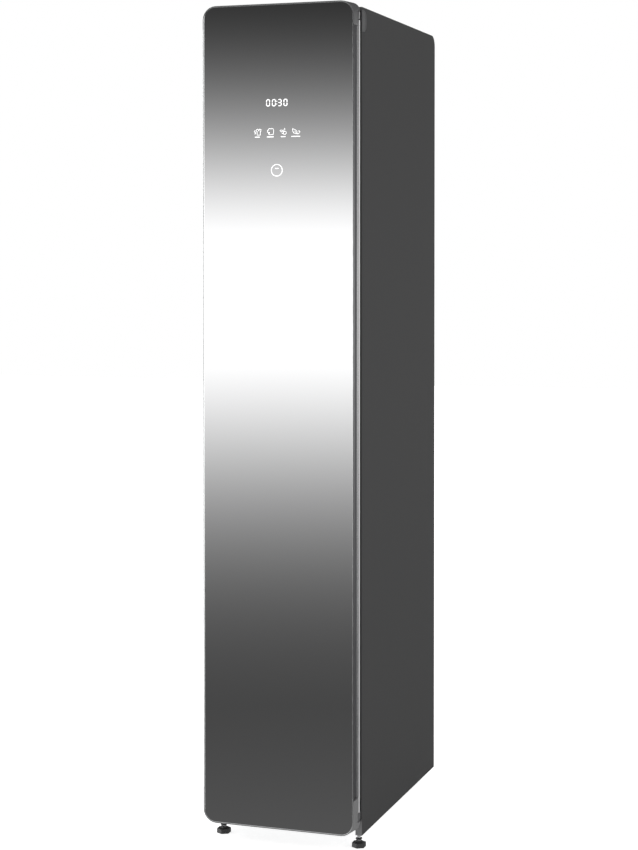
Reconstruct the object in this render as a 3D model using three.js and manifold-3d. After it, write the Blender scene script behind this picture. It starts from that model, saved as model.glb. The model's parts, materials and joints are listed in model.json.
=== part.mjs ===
// A slim free-standing clothes care steam cabinet, in millimetres, +Z up.
// The origin is at the middle of its footprint on the floor, and its glass door faces -Y.
import * as THREE from 'three';
import { mergeVertices } from 'three/addons/utils/BufferGeometryUtils.js';
import Module from 'manifold-3d';

const wasm = await Module();
wasm.setup();

// Driving dimensions of the whole cabinet
const width = 350;
const height = 1850;
const panelDepth = 590;
const doorDepth = 44.4;
const doorGap = 13.6;
const doorOverTop = 8;
const doorOverBottom = 13.5;
const footHeight = 33;

// Clearances: between seated pieces, round a turning pin, and how far a cutter passes the face it cuts
const fit = 0.3;
const pinPlay = 0.3;
const overrun = 2;

// Steel casing
const sheet = 1.2;
const postWidth = 15;
const backTopRadius = 25;
const backLip = 20;
const foldDepth = 12;
const baseLift = 15;
const baseSheet = 2;
const baseRim = 18;
const ventColumns = 2;
const ventRows = 7;
const ventWidth = 110;
const ventHeight = 5;
const ventPitch = 13;
const ventRise = 60;

// Garment chamber
const chamberFloorTop = 300;
const ceilingDrop = 46;
const chamberHalfWidth = 147;
const ductDepth = 96;
const linerWall = 2.5;
const floorWall = 3;
const sillHeight = 22;
const frameDepth = 12;
const wallRibs = 5;
const wallRibWidth = 9;
const wallRibHeight = 1.6;
const slotColumns = 3;
const slotRows = 9;
const slotLength = 62;
const slotHeight = 5;
const slotPitch = 16;
const slotSpacing = 84;
const slotDrop = 150;
const returnRows = 5;
const returnRise = 40;

// Door: toughened glass in a frame of two aluminium rails and two moulded caps
const glassThickness = 3.2;
const glassInset = 2;
const frameRadius = 30;
const frameRearRadius = 20;
const lipSetback = 0.4;
const seatThickness = 1.5;
const seatWidth = 16;
const frameWall = 1.8;
const grooveDepth = 9;
const grooveWidth = 17.5;
const grooveRadius = 3;
const slopeLength = 11.5;
const topCapHeight = 51;
const bottomCapHeight = 78;
const trimThickness = 1.2;
const trimWidth = 6.7;
const trimSetback = 1.2;
const doorLinerSheet = 2;
const doorLinerInset = 4;
const padReach = 4;
const padClear = 4;
const padRadius = 22;
const padRibs = 3;
const padRibWidth = 12;
const padRibDepth = 2;
const gasketWidth = 11;
const gasketOverlap = 1.5;
const gasketRadius = 14;
const gasketRound = 3;
const lowerPadThickness = 3;
const lowerPadRadius = 4;
const boardThickness = 1.6;
const boardWidth = 140;
const boardBottomDrop = 395;
const boardTopDrop = 185;
const chipHeight = 4;
const chipSize = 16;
const chipPitch = 44;
const chipCount = 4;

// Door hinges
const pivotInset = 5.5;
const pivotFromBack = 4.9;
const knuckleRadius = 5.3;
const knuckleHeight = 16;
const knuckleGap = 2;
const pinRadius = 3;
const pinReach = 8;
const notchAround = 11;
const upperKnuckleDrop = 20.5;
const lowerKnuckleRise = 25;
const hingeBlockWall = 4;
const leafThickness = 3;
const leafHeight = 44;
const leafOverKnuckle = 3;
const armHalfWidth = 3.5;
const screwRadius = 3.6;
const screwHead = 1.6;
const screwSpacing = 30;
const coverDepth = 31;
const coverHeight = 47;
const coverDrop = 6;
const coverRadius = 18;
const coverThickness = 2.4;
const coverRim = 2.5;
const coverDish = 0.6;

// Levelling feet
const footInset = 15;
const rearFootInset = 48;
const footFromFront = 26;
const footFromBack = 40;
const knobRadius = 15.8;
const knobHeight = 11;
const knobBevel = 1;
const knobFacets = 6;
const neckRadius = 8;
const neckHeight = 3.6;
const nutLift = 2.6;
const nutRadius = 7.5;
const nutHeight = 3.6;
const studRadius = 4;
const studReach = 26;
const bossRadius = 9;
const bossHeight = 8;

// Water tanks and their well
const wellDepth = 188;
const wellLength = 158;
const wellWall = 2.5;
const wellFrontGap = 3;
const tankPlay = 1.5;
const tankWall = 2.2;
const tankRadius = 12;
const lidThickness = 3;
const lidOverhang = 4;
const lidRise = 0.5;
const fillRadius = 13;
const fillSetback = 34;
const spigotRadius = 6;
const spigotBore = 3;
const spigotLength = 14;
const handleSpan = 82;
const handleReach = 44;
const handleBar = 9;
const handleThickness = 6;
const handleLift = 3;
const handleRadius = 10;
const handleSetback = 12;
const trunnionRadius = 2.4;
const trunnionLength = 5;
const earThickness = 5;
const earRadius = 5.5;

// Lint filter
const filterWidth = 196;
const filterDepth = 14;
const filterHeight = 108;
const filterFrame = 7;
const filterColumns = 5;
const filterRows = 2;
const filterBar = 2;
const filterPlay = 1;
const filterBehindWell = 16;
const filterFlange = 3;
const filterFlangeOver = 5;
const filterTabWidth = 50;
const filterTabHeight = 12;
const meshThickness = 0.8;
const housingWall = 2;

// Hanging rail
const railHeight = 24;
const railThickness = 12;
const railDrop = 90;
const railFromMiddle = 15;
const hookNotches = 3;
const hookPitch = 80;
const hookRadius = 4;
const cradleWall = 4;
const cradleDepth = 14;
const cradlePlateHeight = 52;
const cradlePlateWidth = 34;
const cradlePlate = 3;
const flatShare = 0.9;

// Lamp and steam outlet
const lampLength = 200;
const lampWidth = 22;
const lampDepth = 5;
const lampFromFront = 70;
const nozzleRadius = 24;
const nozzleHeight = 9;
const nozzleBore = 7;
const nozzleSlots = 6;
const nozzleSlotWidth = 4;
const nozzleX = 84;
const nozzleFromFilter = 114;
const nozzleCrownShare = 0.7;

// Steam generator, pump and their pipes
const boilerRadius = 42;
const boilerHeight = 120;
const boilerFlange = 5;
const boilerFlangeRadius = 50;
const boilerLegs = 3;
const boilerLegHeight = 14;
const boilerLegRadius = 6;
const boilerDome = 14;
const outletRadius = 8;
const outletHeight = 12;
const steamPipeRadius = 8;
const steamPipeWall = 2;
const pumpX = 135;
const pumpFromWell = 52;
const pumpBodyWidth = 56;
const pumpBodyHeight = 40;
const pumpBodyLength = 50;
const pumpMotorRadius = 17;
const pumpMotorLength = 34;
const pumpFoot = 6;
const pumpPortRadius = 5;
const hoseRadius = 4.5;
const hoseWall = 1.2;

// Circulation blower
const blowerX = -34;
const blowerFromBack = 122;
const blowerRise = 98;
const wheelRadius = 50;
const wheelWidth = 48;
const wheelBlades = 26;
const bladeThickness = 1.4;
const bladeDepth = 11;
const bladeLeanShare = 0.55;
const wheelDisc = 2.4;
const wheelRing = 3;
const hubRadius = 11;
const hubLength = 22;
const shaftRadius = 4;
const scrollGap = 7;
const scrollGrowth = 24;
const scrollWall = 2.4;
const scrollSide = 4;
const scrollSteps = 40;
const scrollTongueTurns = 0.28;
const inletRadius = 36;
const throatDepth = 54;
const motorRadius = 36;
const motorLength = 52;
const motorRound = 5;
const motorBoltRing = 30;
const blowerFootLength = 90;
const blowerFootThickness = 5;
const heaterHeight = 26;
const heaterFins = 9;
const heaterFinThickness = 1.4;
const heaterFrame = 3;

// Electrics
const controlBoardWidth = 190;
const controlBoardLength = 130;
const controlBoardLift = 7;
const controlBoardFromFront = 120;
const standoffRadius = 4;
const relayHeight = 16;
const relaySize = 24;
const relayPitch = 52;
const heatSinkFins = 6;
const heatSinkHeight = 14;
const heatSinkFin = 2;
const heatSinkPitch = 7;
const inletSocketWidth = 28;
const inletSocketHeight = 20;
const inletPlateWidth = 50;
const inletPlateHeight = 30;
const inletPlate = 2.5;
const inletDepth = 18;
const inletWall = 3;
const inletRise = 38;
const inletX = 115;
const inletChamfer = 5;

// Places that follow from the sizes above
const side = width / 2;
const front = -(doorDepth + doorGap + panelDepth) / 2;
const doorBack = front + doorDepth;
const bodyFront = doorBack + doorGap;
const bodyBack = bodyFront + panelDepth;
const bodyBottom = footHeight;
const bodyTop = height - doorOverTop;
const doorBottom = bodyBottom + doorOverBottom;
const innerSide = side - sheet - fit;
const baseTop = bodyBottom + baseLift + baseSheet;
const postEdge = side - postWidth;
const openingBottom = chamberFloorTop + sillHeight;
const chamberCeiling = bodyTop - ceilingDrop;
const linerFront = bodyFront + frameDepth + fit;
const ductFace = bodyBack - ductDepth;
const pivotX = side - pivotInset;
const pivotY = doorBack - pivotFromBack;
const upperKnuckleTop = height - upperKnuckleDrop;
const lowerKnuckleBottom = doorBottom + lowerKnuckleRise;
const wellFront = linerFront + wellFrontGap;
const wellBack = wellFront + wellLength;
const wellBottom = chamberFloorTop - floorWall - fit - wellDepth;
const filterY = wellBack + filterBehindWell;
const nozzleY = filterY + nozzleFromFilter;
const pumpY = wellBack + pumpFromWell;
const blowerY = bodyBack - blowerFromBack;
const blowerZ = baseTop + blowerRise;

// Finishes
const finish = (color, roughness, metalness) =>
  new THREE.MeshStandardMaterial({ color, roughness, metalness });
const materials = {
  casing: finish(0x464749, 0.6, 0.3),
  steel: finish(0xb9bcc0, 0.4, 0.9),
  glass: finish(0x3a3c3f, 0.06, 0.9),
  rail: finish(0x505153, 0.35, 0.7),
  cap: finish(0x6d6e70, 0.45, 0.2),
  trim: finish(0xc4c6c9, 0.25, 1),
  liner: finish(0xd9dbdd, 0.5, 0),
  gasket: finish(0x2b2b2c, 0.85, 0),
  black: finish(0x1d1d1e, 0.5, 0),
  tank: finish(0xa9c4d6, 0.2, 0),
  lamp: finish(0xf3f1ea, 0.4, 0),
  board: finish(0x1f6b46, 0.5, 0),
  mesh: finish(0x8f9296, 0.6, 0.2),
};

// Closed surfaces, joins and cuts

function weld(geometry) {
  const bare = geometry.clone();
  bare.deleteAttribute('normal');
  bare.deleteAttribute('uv');
  return mergeVertices(bare, 1e-4);
}

function solid(geometry) {
  const welded = weld(geometry);
  const vertProperties = new Float32Array(welded.attributes.position.array);
  const triVerts = new Uint32Array(welded.index.array);
  return new wasm.Manifold(new wasm.Mesh({ numProp: 3, vertProperties, triVerts }));
}

function surface(body) {
  const { vertProperties, triVerts, numProp } = body.getMesh();
  const points = [];
  for (let i = 0; i < vertProperties.length; i += numProp) {
    points.push(...vertProperties.subarray(i, i + 3));
  }
  const geometry = new THREE.BufferGeometry();
  geometry.setAttribute('position', new THREE.Float32BufferAttribute(points, 3));
  geometry.setIndex(new THREE.BufferAttribute(new Uint32Array(triVerts), 1));
  const shaded = geometry.toNonIndexed();
  shaded.computeVertexNormals();
  return shaded;
}

const join = (first, ...rest) => rest.reduce((whole, part) => whole.add(part), first);
const cut = (first, ...rest) => rest.reduce((whole, part) => whole.subtract(part), first);

function mirrored(body) {
  const geometry = weld(surface(body));
  geometry.scale(-1, 1, 1);
  const { array } = geometry.index;
  for (let i = 0; i < array.length; i += 3) [array[i + 1], array[i + 2]] = [array[i + 2], array[i + 1]];
  return solid(geometry);
}

// Basic forms

function block(x0, x1, y0, y1, z0, z1) {
  const geometry = new THREE.BoxGeometry(x1 - x0, y1 - y0, z1 - z0);
  return solid(geometry.translate((x0 + x1) / 2, (y0 + y1) / 2, (z0 + z1) / 2));
}

// An outline of corners [a, b, fillet radius], with each fillet drawn as a curve
function outline(corners) {
  const shape = new THREE.Shape();
  corners.forEach(([a, b, radius = 0], i) => {
    const here = new THREE.Vector2(a, b);
    const before = new THREE.Vector2(...corners.at(i - 1).slice(0, 2));
    const after = new THREE.Vector2(...corners[(i + 1) % corners.length].slice(0, 2));
    const enter = before.sub(here).setLength(radius).add(here);
    const leave = after.sub(here).setLength(radius).add(here);
    if (i === 0) shape.moveTo(enter.x, enter.y);
    else shape.lineTo(enter.x, enter.y);
    if (radius > 0) shape.bezierCurveTo(
      ...enter.clone().lerp(here, roundShare).toArray(),
      ...leave.clone().lerp(here, roundShare).toArray(),
      leave.x, leave.y,
    );
  });
  shape.closePath();
  return shape;
}

// How far a cubic curve's handles reach towards the corner in a quarter circle
const roundShare = 0.5523;

function roundedRect(a0, a1, b0, b1, radius = 0) {
  return outline([[a0, b0, radius], [a1, b0, radius], [a1, b1, radius], [a0, b1, radius]]);
}

const extrusion = (shape, depth, curveSegments) =>
  new THREE.ExtrudeGeometry(shape, { depth, curveSegments, bevelEnabled: false });

// A shape drawn in (x, y), (x, z) or (y, z), pulled along the third axis
const alongZ = (shape, z0, z1, curve = 4) => solid(extrusion(shape, z1 - z0, curve).translate(0, 0, z0));
const alongY = (shape, y0, y1, curve = 4) =>
  solid(extrusion(shape, y1 - y0, curve).rotateX(Math.PI / 2).translate(0, y1, 0));
const turnToX = new THREE.Matrix4().makeBasis(
  new THREE.Vector3(0, 1, 0), new THREE.Vector3(0, 0, 1), new THREE.Vector3(1, 0, 0),
);
const alongX = (shape, x0, x1, curve = 4) =>
  solid(extrusion(shape, x1 - x0, curve).applyMatrix4(turnToX).translate(x0, 0, 0));

function disc(a, b, radius, segments = 24) {
  const shape = new THREE.Shape();
  const places = Array.from({ length: segments }, (_, i) => (i / segments) * 2 * Math.PI);
  shape.setFromPoints(
    places.map((t) => new THREE.Vector2(a + radius * Math.cos(t), b + radius * Math.sin(t))),
  );
  return shape;
}

const post = (x, y, radius, z0, z1, segments) => alongZ(disc(x, y, radius, segments), z0, z1);

// A profile of [radius, height] points turned round a vertical axis at (x, y)
function turned(x, y, profile, segments = 20) {
  const points = profile.map(([radius, z]) => new THREE.Vector2(radius, z));
  return solid(new THREE.LatheGeometry(points, segments).rotateX(Math.PI / 2).translate(x, y, 0));
}

// A solid between two convex outlines in (x, z) that have the same number of corners and curves
function lofted(first, last, y0, y1, curve = 6) {
  const ring = (shape, y) => shape.getPoints(curve).slice(1).map((p) => [p.x, y, p.y]);
  const points = [...ring(first, y0), ...ring(last, y1)];
  const count = points.length / 2;
  const faces = [];
  for (let i = 0; i < count; i += 1) {
    const j = (i + 1) % count;
    faces.push(i, count + i, count + j, i, count + j, j);
    if (i > 0 && j > 0) faces.push(0, i, j, count, count + j, count + i);
  }
  const geometry = new THREE.BufferGeometry();
  geometry.setAttribute('position', new THREE.Float32BufferAttribute(points.flat(), 3));
  return solid(geometry.setIndex(faces));
}

// A round tube along a curve, bored through unless its bore is zero
function tube(points, radius, bore, steps, sides = 12) {
  const path = new THREE.CatmullRomCurve3(points.map((p) => new THREE.Vector3(...p)));
  const ring = disc(0, 0, radius, sides);
  if (bore > 0) ring.holes.push(new THREE.Path(disc(0, 0, bore, sides).getPoints()));
  return solid(new THREE.ExtrudeGeometry(ring, { extrudePath: path, steps, bevelEnabled: false }));
}

// Places of a centred row of equal steps
const row = (count, pitch) => Array.from({ length: count }, (_, i) => (i - (count - 1) / 2) * pitch);

// Steel casing

function hingeCoverOutline(grow, frontEdge) {
  const rear = bodyFront + coverDepth + grow;
  const top = bodyTop - coverDrop + grow;
  const bottom = bodyTop - coverDrop - coverHeight - grow;
  return outline(
    [[frontEdge, bottom], [rear, bottom, coverRadius], [rear, top, coverRadius], [frontEdge, top]],
  );
}

function sidePanel() {
  const web = outline([
    [bodyFront, bodyBottom], [bodyBack, bodyBottom], [bodyBack, bodyTop, backTopRadius],
    [bodyFront, bodyTop],
  ]);
  const postTop = bodyTop - sheet - fit;
  return join(
    alongX(web, side - sheet, side, 8),
    block(postEdge, side, bodyFront, bodyFront + sheet, bodyBottom, postTop),
  );
}

function rightSidePanel() {
  const recess = alongX(
    hingeCoverOutline(fit, bodyFront - overrun), side - coverThickness - fit, side + overrun, 6,
  );
  return cut(sidePanel(), recess);
}

function hingeCover() {
  const body = alongX(hingeCoverOutline(0, bodyFront), side - coverThickness, side, 6);
  const dish = alongX(
    hingeCoverOutline(-coverRim, bodyFront + coverRim), side - coverDish, side + overrun, 6,
  );
  return cut(body, dish);
}

function topPanel() {
  const end = bodyTop - backTopRadius - backLip;
  const profile = outline([
    [bodyFront, bodyTop - sheet], [bodyBack - sheet, bodyTop - sheet, backTopRadius - sheet],
    [bodyBack - sheet, end],
    [bodyBack, end], [bodyBack, bodyTop, backTopRadius], [bodyFront, bodyTop],
  ]);
  return alongX(profile, -innerSide, innerSide, 8);
}

function backPanel() {
  const plan = outline([
    [-innerSide, bodyBack - foldDepth], [sheet - innerSide, bodyBack - foldDepth],
    [sheet - innerSide, bodyBack - sheet], [innerSide - sheet, bodyBack - sheet],
    [innerSide - sheet, bodyBack - foldDepth], [innerSide, bodyBack - foldDepth],
    [innerSide, bodyBack], [-innerSide, bodyBack],
  ]);
  const top = bodyTop - backTopRadius - backLip - fit;
  const vents = row(ventColumns, ventWidth + ventPitch).flatMap((x) =>
    Array.from({ length: ventRows }, (_, i) => {
      const z = baseTop + ventRise + i * ventPitch;
      const slot = roundedRect(x - ventWidth / 2, x + ventWidth / 2, z, z + ventHeight);
      return alongY(slot, bodyBack - sheet - overrun, bodyBack + overrun, 1);
    }));
  return cut(alongZ(plan, bodyBottom + fit, top), ...vents, inletOpening());
}

const footPlaces = {
  front_left: [footInset - side, bodyFront + footFromFront],
  front_right: [side - footInset, bodyFront + footFromFront],
  rear_left: [rearFootInset - side, bodyBack - footFromBack],
  rear_right: [side - rearFootInset, bodyBack - footFromBack],
};

function basePan() {
  const low = baseTop - baseSheet;
  const panFront = linerFront;
  const panBack = bodyBack - foldDepth - fit;
  const pan = block(-innerSide, innerSide, panFront, panBack, low, baseTop + baseRim);
  const hollow = block(
    baseSheet - innerSide, innerSide - baseSheet, panFront + baseSheet, panBack - baseSheet,
    baseTop, baseTop + baseRim + overrun,
  );
  const feet = Object.values(footPlaces);
  const bosses = feet.map(([x, y]) => post(x, y, bossRadius, low, baseTop + bossHeight, 16));
  const bores = feet.map(([x, y]) =>
    post(x, y, studRadius + pinPlay, low - overrun, baseTop + bossHeight + overrun, 12));
  return cut(join(cut(pan, hollow), ...bosses), ...bores);
}

function machineCover() {
  const edge = postEdge - fit;
  const low = bodyBottom + baseLift;
  const top = chamberFloorTop - fit;
  const tray = block(-edge, edge, bodyFront, bodyFront + frameDepth, low, top);
  const hollow = block(
    sheet - edge, edge - sheet, bodyFront + sheet, bodyFront + frameDepth + overrun, low - overrun,
    top - sheet,
  );
  const vents = row(ventRows, ventPitch).map((z) => {
    const slot = roundedRect(-ventWidth / 2, ventWidth / 2, ventMiddle + z, ventMiddle + z + ventHeight);
    return alongY(slot, bodyFront - overrun, bodyFront + sheet + overrun, 1);
  });
  return cut(tray, hollow, ...vents);
}
const ventMiddle = (bodyBottom + baseLift + chamberFloorTop) / 2;

// Garment chamber

function frontFrame() {
  const edge = postEdge - fit;
  const ring = roundedRect(-edge, edge, chamberFloorTop, bodyTop - sheet - fit);
  const opening = roundedRect(
    -chamberHalfWidth, chamberHalfWidth, openingBottom, chamberCeiling, gasketRadius - gasketOverlap,
  );
  ring.holes.push(opening);
  return alongY(ring, bodyFront, bodyFront + frameDepth, 5);
}

function chamberWall() {
  const inner = chamberHalfWidth;
  const outer = inner + linerWall;
  const back = ductFace;
  const pitch = (back - linerFront) / (wallRibs + 1);
  const corners = [[outer, linerFront], [outer, back], [inner, back]];
  for (let i = wallRibs; i >= 1; i -= 1) {
    const middle = linerFront + i * pitch;
    corners.push(
      [inner, middle + wallRibWidth / 2], [inner - wallRibHeight, middle + wallRibWidth / 4],
      [inner - wallRibHeight, middle - wallRibWidth / 4], [inner, middle - wallRibWidth / 2],
    );
  }
  corners.push([inner, linerFront]);
  return alongZ(outline(corners), chamberFloorTop - floorWall, chamberCeiling + linerWall);
}

const ribbedEdge = chamberHalfWidth - wallRibHeight - fit;

function chamberCeilingPanel() {
  const plate = block(
    -ribbedEdge, ribbedEdge, linerFront, ductFace, chamberCeiling, chamberCeiling + linerWall,
  );
  const middle = linerFront + lampFromFront;
  const hole = block(
    -lampLength / 2 - fit, lampLength / 2 + fit, middle - lampWidth / 2 - fit, middle + lampWidth / 2 + fit,
    chamberCeiling - overrun, chamberCeiling + linerWall + overrun,
  );
  return cut(plate, hole);
}

function rearDuctPanel() {
  const edge = chamberHalfWidth + linerWall;
  const panel = block(
    -edge, edge, ductFace + fit, ductFace + fit + linerWall, chamberFloorTop - floorWall, chamberCeiling,
  );
  const slots = [];
  const cutSlot = (x, z) => {
    const slot = roundedRect(x - slotLength / 2, x + slotLength / 2, z, z + slotHeight);
    slots.push(alongY(slot, ductFace - overrun, ductFace + fit + linerWall + overrun, 1));
  };
  for (const x of row(slotColumns, slotSpacing)) {
    for (let i = 0; i < slotRows; i += 1) cutSlot(x, chamberCeiling - slotDrop - i * slotPitch);
    for (let i = 0; i < returnRows; i += 1) cutSlot(x, chamberFloorTop + returnRise + i * slotPitch);
  }
  return cut(panel, ...slots);
}

function chamberFloor() {
  const bottom = chamberFloorTop - floorWall;
  const plate = block(-ribbedEdge, ribbedEdge, linerFront, ductFace, bottom, chamberFloorTop);
  const through = [bottom - overrun, chamberFloorTop + overrun];
  const tankHoles = [-1, 1].map((hand) => alongZ(pocketOutline(hand, 0), ...through));
  const filterHole = block(
    -filterWidth / 2 - filterPlay, filterWidth / 2 + filterPlay,
    filterY - filterDepth / 2 - filterPlay, filterY + filterDepth / 2 + filterPlay, ...through,
  );
  const nozzleHole = post(nozzleX, nozzleY, nozzleBore + linerWall + fit, ...through, 20);
  return cut(plate, ...tankHoles, filterHole, nozzleHole);
}

function lampLens() {
  const middle = linerFront + lampFromFront;
  const plan = roundedRect(
    -lampLength / 2, lampLength / 2, middle - lampWidth / 2, middle + lampWidth / 2, lampWidth / 4,
  );
  return alongZ(plan, chamberCeiling - lampDepth, chamberCeiling + linerWall, 4);
}

// Hanging rail: an oval bar with a seat for each hook, carried in a cradle on each wall

const railMiddle = { y: (linerFront + ductFace) / 2 + railFromMiddle, z: chamberCeiling - railDrop };
const railEnd = ribbedEdge - cradlePlate - fit;

function railOutline(grow, topRise = 0) {
  const { y, z } = railMiddle;
  const half = railThickness / 2 + grow;
  return roundedRect(
    y - half, y + half, z - railHeight / 2 - grow, z + railHeight / 2 + grow + topRise, half * flatShare,
  );
}

function hangingRail() {
  const { z } = railMiddle;
  const top = z + railHeight / 2;
  const bar = alongX(railOutline(0), -railEnd, railEnd, 5);
  const seats = row(hookNotches, hookPitch).map((x) =>
    alongY(disc(x, top, hookRadius, 16), railMiddle.y - railThickness, railMiddle.y + railThickness));
  return cut(bar, ...seats);
}

function railCradle() {
  const { y, z } = railMiddle;
  const half = railThickness / 2 + cradleWall + fit;
  const low = z - railHeight / 2 - cradleWall - fit;
  const plate = roundedRect(
    y - cradlePlateWidth / 2, y + cradlePlateWidth / 2, z - cradlePlateHeight / 2,
    z + cradlePlateHeight / 2, cradleWall,
  );
  const cup = outline([[y - half, low, half / 2], [y + half, low, half / 2], [y + half, z], [y - half, z]]);
  const body = join(
    alongX(plate, ribbedEdge - cradlePlate, ribbedEdge),
    alongX(cup, ribbedEdge - cradleDepth, ribbedEdge),
  );
  const seat = alongX(railOutline(fit, railHeight), ribbedEdge - cradleDepth - overrun, railEnd + fit, 5);
  return cut(body, seat);
}

// Door

const doorSheet = (inset, radius) =>
  roundedRect(inset - side, side - inset, doorBottom + inset, height - inset, radius);

// The lip that stands round the glass
function doorLip() {
  const shape = doorSheet(0, frameRadius);
  shape.holes.push(doorSheet(lipWidth, frameRadius - lipWidth));
  return alongY(shape, front + lipSetback, front + seatFront, 6);
}

// The frame's body behind the glass, whose corners tighten towards the back
function doorBody(inset, v0, v1) {
  const section = (v) => {
    const radius = THREE.MathUtils.mapLinear(v, seatFront, doorDepth, frameRadius, frameRearRadius);
    return doorSheet(inset, radius - inset);
  };
  return lofted(section(v0), section(v1), front + v0, front + v1);
}

const doorGlass = () =>
  alongY(doorSheet(glassInset, frameRadius - glassInset), front, front + glassThickness, 8);

const lipWidth = glassInset - fit;
const seatFront = glassThickness + fit;
const seatBack = seatFront + seatThickness;
const grooveBack = seatBack + grooveWidth;
const trimFront = doorDepth - trimSetback - trimWidth - fit;
const trimRecess = trimThickness + fit;
const railBottom = doorBottom + bottomCapHeight;
const railTop = height - topCapHeight;

// The right rail's section: u runs in from the side of the door, v back from the face of the glass
function doorRail() {
  const section = [
    [0, lipSetback], [0, seatBack], [grooveDepth, seatBack, grooveRadius],
    [grooveDepth, grooveBack, grooveRadius],
    [0, grooveBack + slopeLength], [0, trimFront], [trimRecess, trimFront], [trimRecess, doorDepth],
    [seatWidth, doorDepth], [seatWidth, doorDepth - frameWall],
    [trimRecess + frameWall, doorDepth - frameWall],
    [trimRecess + frameWall, grooveBack + slopeLength],
    [grooveDepth + frameWall, grooveBack + frameWall / 2],
    [grooveDepth + frameWall, seatBack], [seatWidth, seatBack], [seatWidth, seatFront],
    [lipWidth, seatFront], [lipWidth, lipSetback],
  ];
  const placed = section.map(([u, v, radius]) => [side - u, front + v, radius]);
  return alongZ(outline(placed.reverse()), railBottom, railTop, 4);
}

function trimStrip() {
  const y = front + trimFront + fit;
  const z0 = lowerKnuckleBottom + knuckleHeight + knuckleGap + fit;
  const z1 = upperKnuckleTop - knuckleHeight - knuckleGap - fit;
  const plan = outline([
    [side - trimThickness, y], [side - trimThickness / 3, y], [side, y + trimThickness],
    [side, y + trimWidth - trimThickness], [side - trimThickness / 3, y + trimWidth],
    [side - trimThickness, y + trimWidth],
  ]);
  return alongZ(plan, z0, z1);
}

// A cap is the frame's shell within its own band, with a block for the hinge in its rear right corner
function doorCap(z0, z1, closedEnd, knuckleBottom) {
  const band = block(-side - overrun, side + overrun, front - overrun, doorBack + overrun, z0, z1);
  const seatOpening = alongY(
    doorSheet(seatWidth, frameRadius - seatWidth), front + seatFront - overrun,
    front + seatBack + overrun, 6,
  );
  const shell = cut(
    join(doorLip(), doorBody(0, seatFront, doorDepth)),
    doorBody(frameWall, seatBack, doorDepth - frameWall), seatOpening,
  ).intersect(band);
  const endWall = block(
    -side, side, front + seatBack, doorBack - frameWall,
    ...(closedEnd === z0 ? [z0, z0 + frameWall] : [z1 - frameWall, z1]),
  );
  const notchBottom = knuckleBottom - knuckleGap;
  const notchTop = knuckleBottom + knuckleHeight + knuckleGap;
  const blockFront = pivotY - notchAround - hingeBlockWall;
  const hingeBlock = block(
    pivotX - notchAround - hingeBlockWall, side, blockFront, doorBack - frameWall,
    Math.max(notchBottom - pinReach - hingeBlockWall, z0),
    Math.min(notchTop + pinReach + hingeBlockWall, z1),
  ).intersect(doorBody(0, seatFront, doorDepth));
  const recess = (hand) => {
    const [x0, x1] = [side - trimRecess, side + overrun].map((x) => hand * x).sort((a, b) => a - b);
    const [from, to] = closedEnd === z0 ? [z0 - overrun, notchBottom] : [notchTop, z1 + overrun];
    return block(x0, x1, front + trimFront, doorBack + overrun, from, to);
  };
  const boreDepth = closedEnd === z0
    ? [notchBottom - pinReach - fit, notchBottom + fit]
    : [notchTop - fit, notchTop + pinReach + fit];
  const pinBore = post(pivotX, pivotY, pinRadius + pinPlay, ...boreDepth, 20);
  return cut(join(shell, endWall, hingeBlock), hingeNotch(knuckleBottom), pinBore, recess(1), recess(-1));
}

function hingeNotch(knuckleBottom) {
  return block(
    pivotX - notchAround, side + overrun, pivotY - notchAround, bodyFront,
    knuckleBottom - knuckleGap, knuckleBottom + knuckleHeight + knuckleGap,
  );
}

const linerSeat = doorBack + fit;
const linerBack = linerSeat + doorLinerSheet;

function doorLiner() {
  const plate = roundedRect(
    doorLinerInset - side, side - doorLinerInset, doorBottom + doorLinerInset, height - doorLinerInset,
    frameRearRadius - doorLinerInset,
  );
  const pad = (inset, radius) => roundedRect(
    inset - chamberHalfWidth, chamberHalfWidth - inset, openingBottom + inset, chamberCeiling - inset,
    radius,
  );
  const padBack = bodyFront + padReach;
  const body = join(
    alongY(plate, linerSeat, linerBack, 5),
    alongY(pad(padClear, padRadius), linerBack - doorLinerSheet / 2, padBack, 5),
  );
  const inside = alongY(
    pad(padClear + doorLinerSheet, padRadius - doorLinerSheet), linerSeat - overrun,
    padBack - doorLinerSheet - padRibDepth, 5,
  );
  const reach = (chamberCeiling - openingBottom) / 2 - padClear - padRadius;
  const middle = (chamberCeiling + openingBottom) / 2;
  const grooves = row(padRibs, 2 * chamberHalfWidth / (padRibs + 1)).map((x) => {
    const groove = roundedRect(
      x - padRibWidth / 2, x + padRibWidth / 2, middle - reach, middle + reach, padRibWidth / 2.5,
    );
    return alongY(groove, padBack - padRibDepth, padBack + overrun, 3);
  });
  return cut(
    body, inside, ...grooves,
    hingeNotch(upperKnuckleTop - knuckleHeight), hingeNotch(lowerKnuckleBottom),
  );
}

function doorGasket() {
  const edge = chamberHalfWidth + gasketOverlap;
  const shrink = gasketRound;
  const loop = (grow, radius) => roundedRect(
    -edge - grow, edge + grow, openingBottom - gasketOverlap - grow, chamberCeiling + gasketOverlap + grow,
    radius,
  );
  const shape = loop(gasketWidth - shrink, gasketRadius + gasketWidth - shrink);
  shape.holes.push(loop(shrink, gasketRadius + shrink));
  const depth = bodyFront - fit - linerBack - fit;
  const geometry = new THREE.ExtrudeGeometry(shape, {
    depth: depth - 2 * shrink, curveSegments: 5,
    bevelEnabled: true, bevelThickness: shrink, bevelSize: shrink, bevelSegments: 2,
  });
  return solid(geometry.rotateX(Math.PI / 2).translate(0, bodyFront - fit - shrink, 0));
}

function lowerPad() {
  const edge = side - doorLinerInset;
  const z0 = lowerKnuckleBottom + knuckleHeight + knuckleGap + fit;
  const z1 = openingBottom - gasketOverlap - gasketWidth - fit;
  const y = linerBack + fit;
  return alongY(roundedRect(-edge, edge, z0, z1, lowerPadRadius), y, y + lowerPadThickness, 3);
}

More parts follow.
